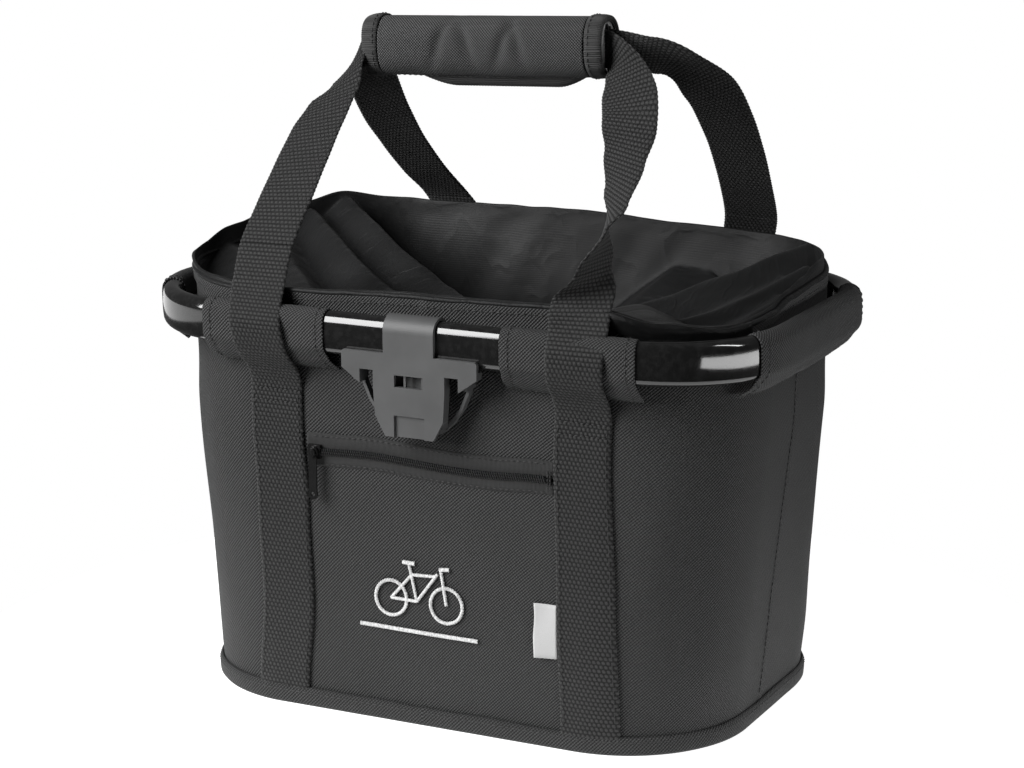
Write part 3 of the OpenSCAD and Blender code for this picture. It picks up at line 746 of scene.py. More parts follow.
def make_cuff():
    """The band inside the rim: up its outside, over the rolled edge and down its inside."""
    us = loop(TOP, 2.4)

    def outside(i, u):
        top = cuff_edge(u)
        z = mix(186, top - 1.5, i / 16)
        return wall(u, z, cuff_out(u, z) + 0.55 * smooth(z, top - 6.4, top - 5.6))[0]

    def rolled(k, u):
        top, a = cuff_edge(u), math.pi * k / 6
        out = cuff_out(u, top) + 0.55 - 1.3 + 1.3 * math.cos(a)
        return wall(u, top - 1.5 + 1.5 * math.sin(a), out)[0]

    def inside(k, u):
        top = cuff_top(u)
        return wall(u, top - 1.5 - 3 * k, cuff_out(u, top) - 2.1)[0]

    rows = net(range(17), us, outside) + net(range(1, 7), us, rolled) + net(range(1, 5), us, inside)
    cloth("cuff_cloth", rows, 0.7, OXFORD_TRIM_LIT, "cuff", wrap=True)
    heights = [cuff_edge(u) - 4.2 for u in us + us[:1]]
    pairs = [wall(u, z, cuff_out(u, z) + 0.75) for u, z in zip(us + us[:1], heights)]
    Seam("cuff_stitches").line(pairs, 2.4, 3.3, 0.25).make()


def make_piping():
    """The lining's edge, rolled over the top of the cuff."""
    rows = []
    for u in loop(TOP, 2.4):
        top = cuff_edge(u)
        centre, n = wall(u, top - 0.1, cuff_out(u, top) - 0.75)
        swell = 1.35 + 0.25 * ripple(along(u), 9, 9, 33)
        turns = [math.pi * k / 5 for k in range(10)]
        rows.append([centre + (n * 1.25 * math.cos(a) + UP * math.sin(a)) * swell for a in turns])
    rows.append(rows[0])
    finish_piece(grid("cuff_rolled_edge", rows, wrap=True), LINING, slot="lining_nylon")


def fold_height(x, y, fold):
    """Height of one fold's tent over (x, y)."""
    (ax, ay, az), (bx, by, bz), left, right, sag = fold
    dx, dy = bx - ax, by - ay
    length = math.hypot(dx, dy)
    t = ((x - ax) * dx + (y - ay) * dy) / length ** 2
    d = ((y - ay) * dx - (x - ax) * dy) / length
    past = max(0.0, -t, t - 1) * length
    t = min(1.0, max(0.0, t))
    width = math.sqrt(d * d + 4) - 2
    return mix(az, bz, t) - sag * 4 * t * (1 - t) - (left if d > 0 else right) * width - 1.1 * past


def lining_height(x, y, bowl):
    """Height of the lining over (x, y): the folds, blended over the deep middle."""
    heights = [bowl] + [fold_height(x, y, fold) for fold in FOLDS]
    top, soft = max(heights), 1.6
    return top + soft * math.log(sum(math.exp((h - top) / soft) for h in heights))


def crumple(x, y):
    """The lining's small unevenness."""
    return 1.2 * ripple(x, y, 28, 51) + 0.5 * ripple((x + y) * 0.25, x - y, 10, 57)


def make_lining():
    """The lining's loose collar, tucked into the basket in folds."""
    us, steps = loop(TOP, 2.0), 104
    edge, reach = 3.2, TOP[1] / 2 - 4.2

    def up_cuff(i, u):
        z = mix(cuff_top(u) - 10, lining_edge(u) - 0.6, i / 3)
        out = -2.5 + lean(u) * smooth(i, 0, 3) + 0.3 * ripple(along(u), z, 12, 44)
        return wall(u, z, out)[0]

    def tucked(k, u):
        inset = edge + reach * (k / steps) ** 1.35
        s, top = inset - edge, lining_edge(u)
        p, n = inner(u, TOP, inset, 3.0, 0.7)
        z = lining_height(p.x, p.y, top - 128 * (1 - math.exp(-((s / 21) ** 1.1))))
        z += smooth(s, 0.5, 12) * crumple(p.x, p.y)
        z = min(z, top - 0.2 * s + 1.2 * smooth(s, 0, 2) + 0.7 * max(0, s - 22))
        hang = smooth(top - z, 1, 10) * (1 - smooth(s, 18, 34))
        crease = 1.4 * ripple(along(u) + 0.5 * z, z * 0.2, 22, 55)
        return Vector((p.x, p.y, z)) + n * (lean(u) * (1 - smooth(s, 0, 14)) + hang * crease)

    def closed(p):
        """Where the two sides meet in the middle."""
        return Vector((p.x, 0, lining_height(p.x, 0, COLLAR_TOP - 130) + crumple(p.x, 0)))

    rows = net(range(4), us, up_cuff) + net(range(steps + 1), us, tucked)
    rows.append([closed(p) for p in rows[-1]])
    rows = [row[::-1] for row in rows]
    collar = cloth("lining_collar_cloth", rows, LINING_T, LINING, "lining_collar",
                   slot="lining_nylon", wrap=True, offset=0.0)


def make_front_fold():
    """The corner of the lining that is pulled over the cuff at the right of the front."""
    ridge = spline([Vector(p) for p in ((90, -92, 219.5), (86, -66, 217.5), (91, -36, 215.5),
                                        (108, -47, 215), (132, -63, 213.5), (154, -66, 213))], 1.0)
    inward = Vector((-0.5, 0.8, 0)).normalized()
    columns = []
    for t in (j / 60 for j in range(61)):
        u = mix(0.93, 1.76, t)
        top = cuff_edge(u) + 1.7
        crest = ridge[round(t * (len(ridge) - 1))]
        edge = wall(u, top, 0.2)[0]
        columns.append([])
        for i in range(4):
            out = 1.5 + 0.3 * ripple(along(u), i * 3, 9, 65)
            columns[-1].append(wall(u, top - 9 + 3 * i, out)[0])
        for v in (i / 19 for i in range(20)):
            sag = (1.8 + 0.8 * ripple(t * 60, v * 30, 12, 67)) * math.sin(math.pi * v)
            columns[-1].append(edge.lerp(crest, v) - UP * sag)
        for v in (i / 10 for i in range(1, 11)):
            columns[-1].append(crest + inward * (5 * v) - UP * (34 * v * v + 2 * v))
    # The fold uses the darker copy of the lining: painted shade.
    fold = cloth("lining_front_fold", list(zip(*columns)), LINING_T, LINING_SHADED_GLOSS,
                 slot="lining_nylon", offset=0.0)


def make_lining_bag():
    """The lining's bag inside the walls, open at the top."""
    us = loop(TOP, 6.0)

    def floor(k, u):
        p = inner(u, BASE, 5 + 88 * k / 9)[0]
        return Vector((p.x, p.y, 5.2 + 0.5 * ripple(p.x, p.y, 30, 61)))

    def side(k, u):
        z = mix(6, WALL_TOP - 2, k / 18)
        return wall(u, z, -5.2 - 0.5 * ripple(along(u), z, 30, 63))[0]

    rows = net(range(9, 0, -1), us, floor) + net(range(19), us, side)
    cloth("lining_bag_cloth", rows, 0.5, LINING, "lining_bag", slot="lining_nylon", wrap=True)


# ------------------------------------------------------------------ sleeves


def sleeve_profile():
    """The sleeve's section from its seam on the wall, round the tube, to the cuff behind.
    Each entry is how far out it is from the tube's middle, and its height."""
    half_t, half_h = TUBE_T / 2 + 1.1, TUBE_H / 2 + 1.0
    low, high = RIM_Z - half_h + half_t, RIM_Z + half_h - half_t

    def arc(z, *degrees):
        return [(half_t * math.cos(a), z + half_t * math.sin(a)) for a in map(math.radians, degrees)]

    profile = [(-7.0, 181.0), (-6.0, 182.0), (-2.6, 184.2), (1.6, 187.2)] + arc(low, -62, -36, -14)
    profile += [(half_t, mix(low, high, t)) for t in (0.0, 0.25, 0.5, 0.75, 1.0)]
    profile += arc(high, 18, 36, 54, 72, 90, 112, 136, 160)
    return profile + [(-half_t, high - 3), (-half_t + 0.2, high - 8)]


def make_sleeve(place, start, end, plump):
    """Fabric folded round the tube from start to end, sewn to the wall below it."""
    us = stations(start, end, RIM, 1.6)
    profile = sleeve_profile()
    count = len(us) - 1

    def point(i, j):
        out, z = profile[i]
        s, from_end = along(signed(us[j]), RIM), min(j, count - j)
        low = 1 - smooth(z, 181, 194) if i < 8 else 0.0
        share = from_end / count * 2
        grow = plump * smooth(share, 0, 0.22) * math.sin(math.pi * min(1, max(0, (z - 183) / 34)))
        soft = 0.35 * ripple(s, z, 16, 73) + 0.18 * ripple(s, z, 6, 75)
        hem = 0.3 * (1 - smooth(from_end, 2.5, 3.5))
        fold = low * 0.9 * ripple(s, z * 0.3, 7, 71) * smooth(i, 0, 2)
        centre, normal = outline(mix(us[j], mix(start, end, 0.5), -0.05 * low), *RIM)
        dist = out + (grow + soft + hem) * (1 if out > 0 or z > 208 else 0.4) + fold
        lift = grow * 0.5 if z > 205 else 0
        sag = -1.5 * low * share * smooth(i / (len(profile) - 1), 0.0, 0.08)
        return centre + normal * dist + UP * (z + lift + sag)

    rows = net(range(len(profile)), range(count + 1), point)
    name = "sleeve_" + place
    sleeve = cloth(name + "_cloth", rows, 0.96, OXFORD_TRIM_LIT, name)
    modify(sleeve, "SUBSURF", levels=1, render_levels=1)
    return rows


def sleeve_stitches(seam, rows, pitch=3.4):
    """Stitches along both hems of a sleeve and along its seam on the wall."""
    for j in (3, len(rows[0]) - 4):
        pairs = []
        for a, b in zip(rows[1:-3], rows[2:-2]):
            way = (b[j] - a[j]).normalized()
            normal = (a[j + 1] - a[j - 1]).normalized().cross(way).normalized()
            pairs += [(a[j].lerp(b[j], t) + normal * 0.25, normal) for t in (0.0, 0.5)]
        seam.line(pairs, 2.2, pitch)
    outs = [Vector((a.x, a.y, 0)).normalized() for a in rows[1][:-1]]
    pairs = [(a + out * 0.4, (out + UP * 0.3).normalized()) for a, out in zip(rows[1], outs)]
    seam.line(pairs, 2.6, pitch)


def make_sleeves():
    near = 49 / (RIM[0] / 2 - RIM[2])
    seam = Seam("sleeve_stitches")
    bend, side = 10 / 90, 24 / 90
    plan = [("front_right", near, 1 + bend, 0.3), ("front_left", 8 - bend, 9 - near, 0.3),
            ("rear_right", 4 - bend, 4.5 - near / 2, 0.3), ("rear_left", 4.5 + near / 2, 5 + bend, 0.3),
            ("right", 2 - side * 1.05, 3 + side, 0.9), ("left", 6 - side, 7 + side, 0.9)]
    for sleeve in plan:
        sleeve_stitches(seam, make_sleeve(*sleeve))
    seam.make()


# ------------------------------------------------------------------ straps

# Each strap's middle on the wall, as (height, x). Then its free run to the grip, as (x, y, z)
# and, where its width doesn't point along x, the way that it does.
STRAPS = {
    "front_left": (
        [(6, -82.5), (56, -78.5), (110, -81), (150, -83.5), (168, -84)],
        [(-84, -101.2, 180), (-85, -108.4, 189), (-86, -111.2, 197), (-88, -110.6, 206),
         (-90, -105.5, 214), (-92, -98.5, 223, 1, 0.05, 0), (-93, -88, 241, 1, 0.08, 0),
         (-89.5, -77, 260, 1, 0.1, 0.05), (-86, -65, 279, 1, 0.1, 0.12), (-82, -54, 297, 1, 0.1, 0.2),
         (-77.5, -45, 311, 1, 0.1, 0.35), (-73, -37, 323, 0.75, 0.1, 0.65),
         (-70, -30, 332, 0.35, 0.05, 0.95), (-66, -25, 336.5, 0, 0, 1)],
    ),
    "front_right": (
        [(6, 92.5), (80, 90.5), (150, 88), (168, 88.5)],
        [(89, -101.2, 180), (89.5, -108.4, 189), (90, -111.2, 197), (90, -110.2, 206, 1, 0.05, 0),
         (89.5, -105, 214, 1, 0.1, 0), (88, -98.5, 225, 0.95, 0.3, 0.02),
         (89.5, -87, 243, 0.2, 0.97, 0.05), (91.5, -76, 262, -0.38, 0.92, 0),
         (92.5, -68, 274, -0.7, 0.68, 0.1), (92.5, -58, 292, -0.9, 0.42, 0.1),
         (91, -49, 307, -1, 0.05, 0.05), (87, -40, 320, -0.95, -0.05, -0.25),
         (81, -32, 331, -0.88, 0.05, -0.42), (74, -27, 338, -0.6, 0.2, -0.75),
         (66, -24, 341.2, 0, 0, -1)],
    ),
    "rear_left": (
        [(6, -84), (90, -84), (168, -84)],
        [(-84, 101.2, 180), (-84, 108.4, 189), (-83.5, 111.2, 197), (-82.5, 110.4, 206),
         (-81.5, 106.4, 215), (-80.5, 100.4, 224), (-81.5, 97, 232), (-85, 90, 242, 1, -0.1, 0.05),
         (-88, 73, 256, 1, -0.1, 0.1), (-90.5, 54, 274, 1, -0.1, 0.15), (-91, 35, 293, 1, 0, 0.2),
         (-87, 14, 313, 0.95, 0, 0.35), (-80, -4, 327, 0.8, 0, 0.6), (-72, -16, 334.5, 0.4, 0, 0.9),
         (-66, -20, 336.8, 0.05, 0, 1)],
    ),
    "rear_right": (
        [(6, 90), (90, 90), (168, 90)],
        [(90, 101.2, 180), (90, 108.4, 189), (90, 111.2, 197), (90, 110.4, 206), (91, 106.4, 215),
         (94, 100.4, 224), (97, 97, 232), (101, 88, 243, 1, 0, -0.03), (106.5, 66, 262, 1, 0, -0.05),
         (110, 44, 284, 1, 0, 0.02), (111, 25, 303, 1, 0, 0.15), (110, 8, 318.5, 0.9, -0.1, 0.35),
         (102, -7, 331.5, 0.75, -0.45, 0.4), (87, -16, 338, 0.4, -0.5, 0.7),
         (66, -20, 341.2, 0, -0.1, 1)],
    ),
}


class Strap:
    """The middle line and width of one strap, from the base to the grip."""

    def __init__(self, on_wall, free, rear):
        self.rear = rear
        points = []
        for i in range(15):
            z = mix(on_wall[0][0], on_wall[-1][0], i / 14)
            points.append(skin(u_at_x(table(on_wall, z), z, rear), z, 1.1)[0])
        widths = [Vector((1, 0, 0))] * len(points)
        points += [Vector(stop[:3]) for stop in free]
        widths += [Vector(stop[3:] or (1, 0, 0)).normalized() for stop in free]
        self.line = spline(points, ROW / 2)
        self.width = self.match(points, widths)

    def match(self, points, widths):
        """The width's direction at each point of the line."""
        found, i = [], 0
        for p in self.line:
            while i < len(points) - 2 and (p - points[i + 1]).length < (p - points[i]).length:
                if (points[i + 1] - points[i]).dot(p - points[i + 1]) < 0:
                    break
                i += 1
            step = points[i + 1] - points[i]
            t = min(1.0, max(0.0, (p - points[i]).dot(step) / step.length_squared))
            found.append(widths[i].lerp(widths[i + 1], smooth(t, 0, 1)).normalized())
        return found

    def normal(self, i):
        a, b = self.line[max(0, i - 1)], self.line[min(len(self.line) - 1, i + 1)]
        n = self.width[i].cross(b - a).normalized()
        return n

    def point(self, i, a):
        """Point a millimetres across the strap from its middle, at step i."""
        p, end = self.line[i], len(self.line) - 1
        narrow = mix(1.0, 0.62, smooth(i, end - 34, end - 4))
        free = p + self.width[i] * (a * narrow)
        if p.z > 186 or (p.z > 170 and i > end / 2):
            return free
        held = skin(u_at_x(p.x + a, p.z, self.rear), p.z, 1.1)[0]
        return held.lerp(free, smooth(p.z, 160, 184))


def knob(i, a):
    """Height of the weave's knobs, from 0 to 1, at row step i and a across."""
    row = i / 2
    shift = 0.5 if int(row) % 2 else 0.0
    return abs(math.sin(math.pi * (a / COLUMN + shift))) * abs(math.sin(math.pi * row))


def web_piece(name, strap, start, end, node):
    """Webbing from step start to step end of a strap, with its weave in the mesh."""
    columns = 26
    cross = [-WEB_HALF + 2 * WEB_HALF * j / columns for j in range(columns + 1)]
    rows = []
    for i in range(start, end + 1):
        n, ragged, ring = strap.normal(i), 0.22 if i % 2 else -0.12, []
        for side, a in [(1, a) for a in cross] + [(-1, a) for a in reversed(cross)]:
            edge = abs(a) / WEB_HALF
            half = WEB_T / 2 * (1 - 0.62 * smooth(edge, 0.93, 1.0))
            bulge = 0.42 * knob(i, a) * (1 - smooth(edge, 0.96, 1.0))
            reach = a * (1 + (ragged / WEB_HALF if edge > 0.95 else 0))
            ring.append(strap.point(i, reach) + n * (side * (half - 0.15 + bulge)))
        rows.append(ring)
    x, y = cross + cross[::-1] + cross[:1], [i * ROW / 2 for i in range(start, end + 1)]
    web = grid(name, rows, wrap=True, cap=True, x=x, y=y)
    return finish_piece(web, WEBBING, node, slot="black_webbing")


def make_straps():
    for name, (on_wall, free) in STRAPS.items():
        strap = Strap(on_wall, free, name.startswith("rear"))
        split = next(i for i, p in enumerate(strap.line) if p.z > BEND_Z and i % 4 == 0)
        web_piece("web_sewn_" + name, strap, 0, split, "strap_" + name)
        leg = web_piece("web_free_" + name, strap, split, len(strap.line) - 1, "handle_leg_" + name)
        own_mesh(leg)
        strap_stitches(name, strap)


def strap_stitches(name, strap):
    """The lockstitch down both edges of the sewn part, and the box at its top."""
    seam = Seam("strap_stitches_" + name, slot="black_webbing")
    top = next(i for i, p in enumerate(strap.line) if p.z > 168)

    def on_strap(i, a, out):
        n = strap.normal(i)
        return strap.point(i, a) + n * (WEB_T / 2 + out), n

    for a in (-WEB_HALF + 2, WEB_HALF - 2):
        seam.line([on_strap(i, a, 0.15) for i in range(6, top)], 2.4, 3.3, 0.26)
    for i in (top, top - 6):
        seam.line([on_strap(i, a, 0.2) for a in range(-14, 15)], 2.2, 2.9, 0.3)
    seam.make()


# ------------------------------------------------------------------ grip

GRIP_TILT = math.radians(2)
GRIP_LEN = 136
GRIP_D, GRIP_H = 24.3, 30.5
GRIP_BIND = 9.5
GRIP_LOW, GRIP_HIGH = span("grip_cover")
GRIP_MID = (GRIP_LOW + GRIP_HIGH) / 2
GRIP_X = Vector((math.cos(GRIP_TILT), 0, math.sin(GRIP_TILT)))
GRIP_UP = Vector((-math.sin(GRIP_TILT), 0, math.cos(GRIP_TILT)))
GRIP_OUT = Vector((0, -1, 0))


def grip_point(x, angle, inset, out=0.0):
    """Point round the grip's section, out from the outline drawn in by inset. angle is in
    degrees, 0 at the front and 90 on top."""
    a, power = math.radians(angle), 0.82
    c, s = math.cos(a), math.sin(a)
    y = (GRIP_D / 2 - inset + out) * math.copysign(abs(c) ** power, c)
    z = (GRIP_H / 2 - inset + out) * math.copysign(abs(s) ** power, s)
    return GRIP_MID + GRIP_X * x + GRIP_OUT * y + GRIP_UP * z


def grip_swell(x):
    """The padding's fullness along the grip, least at the bound ends."""
    return 1 - abs(x / (GRIP_LEN / 2)) ** 3


def make_grip_cover():
    half = GRIP_LEN / 2 - 1

    def point(i, k):
        x, angle = mix(-half, half, i / 90), 5 * k
        behind = smooth(-math.cos(math.radians(angle)), -0.1, 0.5)
        swell = (1.4 * grip_swell(x) + 0.7 * ripple(x, angle * 0.25, 17, 81)) * behind
        below = max(0.0, -math.sin(math.radians(angle))) ** 3
        sag = 1.6 * below * smooth(x, -48, -22) * (1 - smooth(x, 40, 60))
        return grip_point(x, angle, 2.1, swell) - GRIP_UP * sag - GRIP_OUT * (1.5 * below)

    rows = net(range(91), range(71, -1, -1), point)
    cover = cloth("grip_cover_cloth", rows, 0.8, OXFORD_GRIP_LIT, "grip_cover", wrap=True, body="handle")


def make_grip_lip():
    """The rounded, ribbed edge of the padding that shows below the flap."""

    def point(i, k):
        x, a = mix(-45, 58, i / 250), math.pi * k / 12
        hang = (smooth(x, -46, -18) * (1 - smooth(x, 38, 59))) ** 0.6
        rib = 0.12 * math.sin(math.pi * i / 2)
        side, low = math.cos(a), math.sin(a)
        drop = low * (8.0 * hang + rib) - 0.8
        edge = grip_point(x, -90 + 14 * side, 2.4, 0.4)
        return edge - GRIP_UP * drop - GRIP_OUT * (1.6 - side * 2.2)

    rows = net(range(251), range(13), point)
    cloth("grip_padding_edge", rows, 0.6, TAPE, body="handle", slot="binding_tape", offset=0.0)


def grip_crease(x, angle):
    """Creases on the flap: four short slanting folds and one long line along it."""
    depth = 0.0
    for at, tilt, width in ((-22, 1, 3.2), (-9, -1, 3.6), (14, 1, 3.0), (20, -1, 3.4)):
        centre = at + (angle - 20) * 0.10 * tilt
        reach = math.exp(-(((angle - 15) / 38) ** 2))
        depth -= 2.2 * reach * math.exp(-(((x - centre) / width) ** 2))
    long_line = 42 + 3 * ripple(x, 0, 30, 85)
    return depth - 0.55 * math.exp(-(((angle - long_line) / 5) ** 2)) * grip_swell(x)


def make_grip_flap():
    """The flap that closes over the front of the grip. Its rear edge is sewn under the cover."""
    half = (GRIP_LEN - 2 * GRIP_BIND - 1) / 2
    sewn = 8

    def point(i, k):
        x, share = mix(-half, half, i / 110), max(0.0, k / 63)
        angle = mix(90, -84, k / 63)
        swell = grip_swell(x) * math.sin(math.pi * min(1, share * 1.05)) - 1.5 * smooth(-k, 0, sewn)
        swell += 0.5 * ripple(x, angle * 0.3, 20, 83) * smooth(share, 0.05, 0.2)
        lip = smooth(share, 0.75, 1.0) * grip_swell(x) * 0.8
        return grip_point(x, angle, 0.2, swell + grip_crease(x, angle)) + (GRIP_OUT - GRIP_UP) * lip

    rows = net(range(111), range(-sewn, 64), point)
    flap = cloth("grip_flap_cloth", rows, 0.9, OXFORD_GRIP_LIT, "grip_flap", body=None)
    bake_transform(flap)
    pairs, k = [], 59 + sewn
    for row, after in zip(rows[2:109], rows[3:110]):
        normal = (row[k + 1] - row[k - 1]).cross(after[k] - row[k]).normalized()
        normal *= -1 if normal.y > 0 else 1
        pairs.append((row[k] + normal * 0.2, normal))
    Seam("grip_flap_stitches", body="flap").line(pairs, 2.3, 3.2, 0.25).make()


def make_grip_binding(side):
    """Ribbed tape folded over one end of the grip."""
    start, end, per = GRIP_LEN / 2 - GRIP_BIND, GRIP_LEN / 2, 4
    profile = [(start, 0.1), (start + 0.3, 0.7), (start + 2, 0.9), (start + 6, 0.75),
               (end - 2.5, 0.6), (end - 0.8, 0.2), (end, -0.8), (end - 0.5, -1.9),
               (end - 3, -2.3), (end - 9, -2.4)]

    def point(x, angle, out):
        soft = 0.5 * ripple(angle * 0.27, x, 14, 91 + side)
        return grip_point(side * x, angle, 0, out + soft)

    def ribbed_point(i, k):
        x, out = profile[i]
        rib = 0.16 * math.sin(2 * math.pi * k / per) if out > -1.5 else 0
        return point(x, 360 * k / (76 * per), out - 0.3 + rib)

    name = "grip_binding_" + ("left" if side < 0 else "right")
    rows = net(range(len(profile)), range(76 * per)[::-side], ribbed_point)
    where = {"body": "handle", "slot": "binding_tape"}
    cloth(name + "_tape", rows, 0.6, TAPE, name, wrap=True, **where)
    ends = [[point(start + 2.2, angle, out) for out in (0.85, 1.85)] for angle in range(0, 361, 2)]
    pairs = [(p, (q - p).normalized()) for p, q in ends]
    Seam(name + "_stitches", **where).line(pairs, 2.2, 3.1, 0.26).make()


# ------------------------------------------------------------------ zip

ZIP_LOW, ZIP_HIGH = span("zip_coils")
ZIP_Z = (ZIP_LOW.z + ZIP_HIGH.z) / 2
ZIP_LEFT, ZIP_RIGHT = ZIP_LOW.x - 3, ZIP_HIGH.x + 3


def zip_line(x):
    """Height of the zip's chain, which waves a little along the pocket."""
    t = (x - ZIP_LEFT) / (ZIP_RIGHT - ZIP_LEFT)
    return ZIP_Z + 1.2 * math.sin(2.2 * math.pi * t) * smooth(t, 0.0, 0.3) * (1 - smooth(t, 0.8, 1))


def on_front(x, z, out):
    return skin(u_at_x(x, z), z, out)


def make_zip():
    """The zip's two tapes, sewn to the front above and below its coils."""
    xs = [mix(ZIP_LEFT, ZIP_RIGHT, i / 170) for i in range(171)]
    tapes = {
        "upper": [(1.0, 0.9), (2.2, 0.9), (3.2, 1.0), (5.0, 1.2), (7.0, 1.1), (8.8, 0.8), (9.4, 0.2)],
        "lower": [(-8.0, 0.1), (-7.4, 0.5), (-6.2, 0.8), (-4.4, 0.9), (-2.8, 0.9), (-2.0, 0.9), (-1.0, 0.9)],
    }
    for place, profile in tapes.items():
        seed = 102 if place == "upper" else 100

        def point(stop, x):
            z = zip_line(x) + stop[0]
            return on_front(x, z, stop[1] + 0.25 * ripple(x, z, 12, seed))[0]

        name = "zip_tape_" + place
        cloth(name + "_cloth", net(profile, xs, point), 0.5, ZIP_TAPE, name, slot="zip_tape")
    seam = Seam("zip_stitches")
    for rise, out in ((8.0, 1.25), (-6.6, 1.0)):
        seam.line([on_front(x, zip_line(x) + rise, out) for x in xs[3:-3]], 2.3, 3.2, 0.25)
    for x in (ZIP_RIGHT - 1.5, ZIP_RIGHT - 3):
        seam.line([on_front(x, ZIP_Z + z * 0.5, 1.7) for z in range(-12, 13)], 1.6, 2.0, 0.3)
    seam.make()


def make_zip_coils():
    """Two interlocked nylon coils, as helices of fine monofilament."""
    points, faces = [], []
    pitch, radius, wire, sides, per = 1.25, 1.0, 0.34, 6, 10
    turns = int((ZIP_RIGHT - ZIP_LEFT - 8) / pitch)
    for sign, late in ((1, 0), (-1, 0.5)):
        path = []
        for k in range(turns * per):
            x, a = ZIP_LEFT + 5 + (k / per + late) * pitch, 2 * math.pi * k / per
            z = zip_line(x) + sign * 0.75 + radius * math.cos(a)
            path.append(on_front(x, z, 1.75 + radius * 0.62 * math.sin(a))[0])
        faces += ring_faces(len(points), len(path), sides)
        for p, before, after in zip(path, path[:1] + path, path[1:] + path[-1:]):
            way = (after - before).normalized()
            side = way.cross(UP).normalized()
            up = side.cross(way)
            for a in (2 * math.pi * k / sides for k in range(sides)):
                points.append(p + side * (wire * math.cos(a)) + up * (wire * math.sin(a)))
    finish_piece(build("zip_coil_chain", points, faces), ZIP_PLASTIC, "zip_coils", slot="zip_plastic")


# ------------------------------------------------------------------ label and emblem


def make_label():
    """Folded satin tab that sticks out from under the right front strap."""
    low, high = span("label_tab")

    def point(i, j):
        z, t = mix(low.z, high.z, i / 14), j / 12
        x = mix(high.x + 1, low.x, t) + 0.25 * math.sin(z * 0.3) * t
        return on_front(x, z, 0.9 + 1.5 * t * t + 0.5 * math.sin(2.4 * t + z * 0.12))[0]

    rows = net(range(15), range(12, -1, -1), point)
    cloth("label_tab_cloth", rows, 0.5, LABEL, "label_tab", slot="label_satin")


def satin(points, faces, start, end, width):
    """Satin stitches side by side across the stroke from start to end, in the panel's (x, z)."""
    length = math.dist(start, end)
    dx, dz = (end[0] - start[0]) / length, (end[1] - start[1]) / length
    count, sides = max(2, round(length / 0.42)), 5
    for i in range(count):
        faces += ring_faces(len(points), 5, sides)
        ragged = 0.12 * math.sin(i * 2.4)
        for t, lift in ((-1, -0.25), (-0.72, 0.18), (0, 0.32), (0.72, 0.18), (1, -0.25)):
            reach, far = t * (width / 2 + ragged), length * (i + 0.5) / count
            x, z = start[0] + dx * far - dz * reach, start[1] + dz * far + dx * reach
            base, n = on_front(x, z, 1.15 + lift)
            for a in (2 * math.pi * k / sides for k in range(sides)):
                strand = Vector((dx, 0, dz)) * (0.26 * math.cos(a)) + n * (0.2 * math.sin(a))
                points.append(base + strand)


def make_emblem():
    """The stitched motif: a plain bicycle in outline, over a ruled line."""
    points, faces = [], []
    low, high = span("front_emblem")
    mid_x, low_z = (low.x + high.x) / 2, low.z + 17
    hub, wheel, steps = 16, 9.1, 40
    seat, head, crank, rear_hub = (-5, 17), (11, 16), (-1, 0), (-16, 0)
    seat_joint, seat_top = [(seat[0] * k, seat[1] * k) for k in (0.8, 1.15)]
    head_joint, head_top = [(head[0] * k, head[1] * k) for k in (0.9, 1.15)]
    bars = []
    for side in (-hub, hub):
        turns = [2 * math.pi * k / steps for k in range(steps + 1)]
        ring = [(side + wheel * math.cos(a), wheel * math.sin(a)) for a in turns]
        bars += [(a, b, 1.8) for a, b in zip(ring, ring[1:])]
    bars += [(rear_hub, crank, 1.6), (rear_hub, seat_joint, 1.6), (crank, seat_top, 1.6),
             (crank, head, 1.6), (seat_joint, head_joint, 1.6), ((hub, 0), head_top, 1.6)]
    bars += [((seat_top[0] - 3.5, seat_top[1]), (seat_top[0] + 3.5, seat_top[1]), 2),
             ((head_top[0] - 0.6, head_top[1]), (head_top[0] + 5, head_top[1] + 0.6), 2),
             ((-34, -16), (34, -16), 2)]
    for a, b, width in bars:
        satin(points, faces, *[(mid_x + p[0], low_z + p[1]) for p in (a, b)], width)
    emblem = build("front_emblem_threads", points, faces)
    finish_piece(emblem, THREAD_LIGHT, "front_emblem", slot="emblem_thread")


# ------------------------------------------------------------------ carried-over CAD nodes


def dress_nodes():
    """Materials and soft edges for the CAD nodes that stay."""
    looks = [
        (ADAPTER, 0.45, "adapter_plate"), (ADAPTER, 0.4, "adapter_jaw"),
        (STEEL, 0.2, "adapter_screws"), (ALUMINIUM, 0.2, "rim_joiner"), (STEEL, 0.3, "rim_rivets"),
        (BOARD, 0.5, "base_board"),
        (FOAM, 0.4, "stiffener_front", "stiffener_back", "stiffener_left", "stiffener_right"),
        (LINING, 0.0, "pocket_bag"), (ZIP_METAL, 0.2, "zip_stops"), (ZIP_METAL, 0.35, "zip_slider"),
        (ZIP_METAL, 0.3, "zip_puller"), (WEBBING, 0.0, "handle_web_front", "handle_web_rear"),
        (FOAM, 0.0, "grip_pad"), (TOUCH, 0.0, "grip_hook_tape", "grip_loop_tape"),
    ]
    for material, bevel, *nodes in looks:
        for obj in (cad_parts[node] for node in nodes):
            if not obj.material_slots:
                obj.data.materials.append(material)
            for slot in obj.material_slots:
                slot.material = material
            if bevel:
                modify(obj, "BEVEL", width=bevel * MM, segments=3, limit_method="ANGLE",
                       angle_limit=math.radians(35), harden_normals=False)
                modify(obj, "WEIGHTED_NORMAL", keep_sharp=True)


# ------------------------------------------------------------------ stage, lights and camera

CAMERA_AT = Vector((624.33, -1244.62, 493.74))
CAMERA_WAY = Vector((-0.43485, 0.86939, -0.23464))
CAMERA_ROLL = math.radians(-0.39)
LENS = 95.14
FLOOR_R = 310


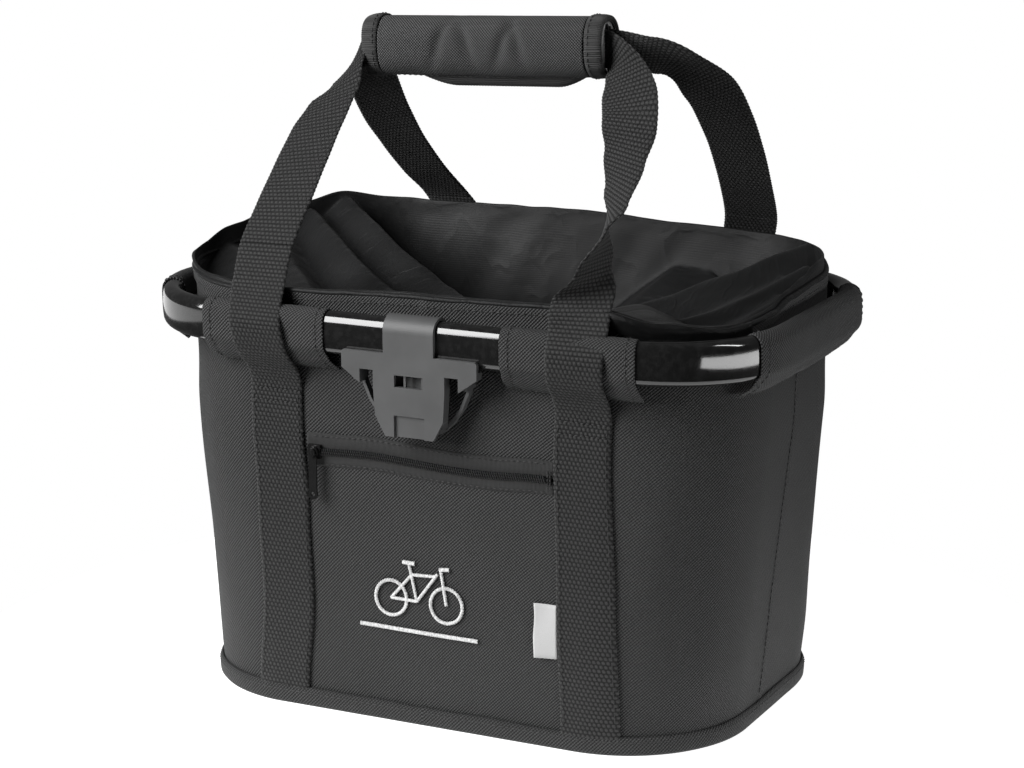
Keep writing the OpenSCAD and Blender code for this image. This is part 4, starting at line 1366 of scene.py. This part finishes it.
def place(name, data, at, way, roll=0.0):
    """A camera or light at a point in metres, looking along way."""
    obj = bpy.data.objects.new(name, data)
    bpy.context.collection.objects.link(obj)
    obj.location = at
    obj.rotation_mode = "QUATERNION"
    obj.rotation_quaternion = way.to_track_quat("-Z", "Y") @ Quaternion((0, 0, 1), roll)
    return obj


def make_camera():
    data = bpy.data.cameras.new("camera")
    data.lens, data.sensor_width = LENS, 36
    data.clip_start, data.clip_end = 0.05, 50
    bpy.context.scene.camera = place("camera", data, CAMERA_AT * MM, CAMERA_WAY, CAMERA_ROLL)


def area_light(name, azimuth, elevation, distance, size, power):
    """A softbox that faces the basket; azimuth 0 is straight in front, positive to the right."""
    light = bpy.data.lights.new(name, "AREA")
    light.shape, light.energy = "RECTANGLE", power
    light.size, light.size_y = size
    a, e = math.radians(azimuth), math.radians(elevation)
    way = Vector((math.sin(a) * math.cos(e), -math.cos(a) * math.cos(e), math.sin(e)))
    place(name, light, Vector((0, 0, 0.18)) + way * distance, -way)


def make_stage():
    """White to the camera, and a room that is dark behind it and lighter behind the basket."""
    scene = bpy.context.scene
    scene.view_settings.view_transform = "Standard"
    scene.world = bpy.data.worlds.new("studio")
    scene.world.use_nodes = True
    world = Nodes(scene.world.node_tree)
    background = world.tree.nodes["Background"]
    background.inputs["Color"].default_value = (1, 1, 1, 1)
    way = world.add("SeparateXYZ", {0: world.add("TexCoord").outputs["Generated"]})
    room = world.scaled(way.outputs["Y"], 0.01, 0.12, -0.2, 0.8)
    seen = world.add("LightPath").outputs["Is Camera Ray"]
    world.feed(background.inputs["Strength"], world.math("MAXIMUM", seen, room))

    paper = Paint("floor_paper", 0.9, specular_ior_level=0.1, base_color=(0.5, 0.5, 0.5, 1),
                  emission_color=(1, 1, 1, 1), emission_strength=0.92)
    turns = [2 * math.pi * k / 96 for k in range(96)]
    edge = [Vector((math.cos(a), math.sin(a), 0)) * FLOOR_R for a in turns]
    floor = build("floor", edge, [tuple(range(96))], flat=True)
    floor.data.materials.append(paper.material)

    area_light("key_softbox", -41, 28, 1.6, (1.0, 1.2), 52)
    area_light("left_card", -88, -8, 1.6, (2.8, 0.3), 4.2)
    area_light("right_card", 84, -7, 0.75, (0.9, 0.14), 2.6)
    area_light("right_strip", 92, 46, 1.6, (0.12, 0.8), 5)


# ------------------------------------------------------------------ the whole basket

make_camera()
make_stage()
make_tube()
make_body()
make_base()
make_cuff()
make_piping()
make_lining()
make_front_fold()
make_lining_bag()
make_sleeves()
make_straps()
make_grip_cover()
make_grip_lip()
make_grip_flap()
for end in (-1, 1):
    make_grip_binding(end)
make_zip()
make_zip_coils()
make_label()
make_emblem()
dress_nodes()
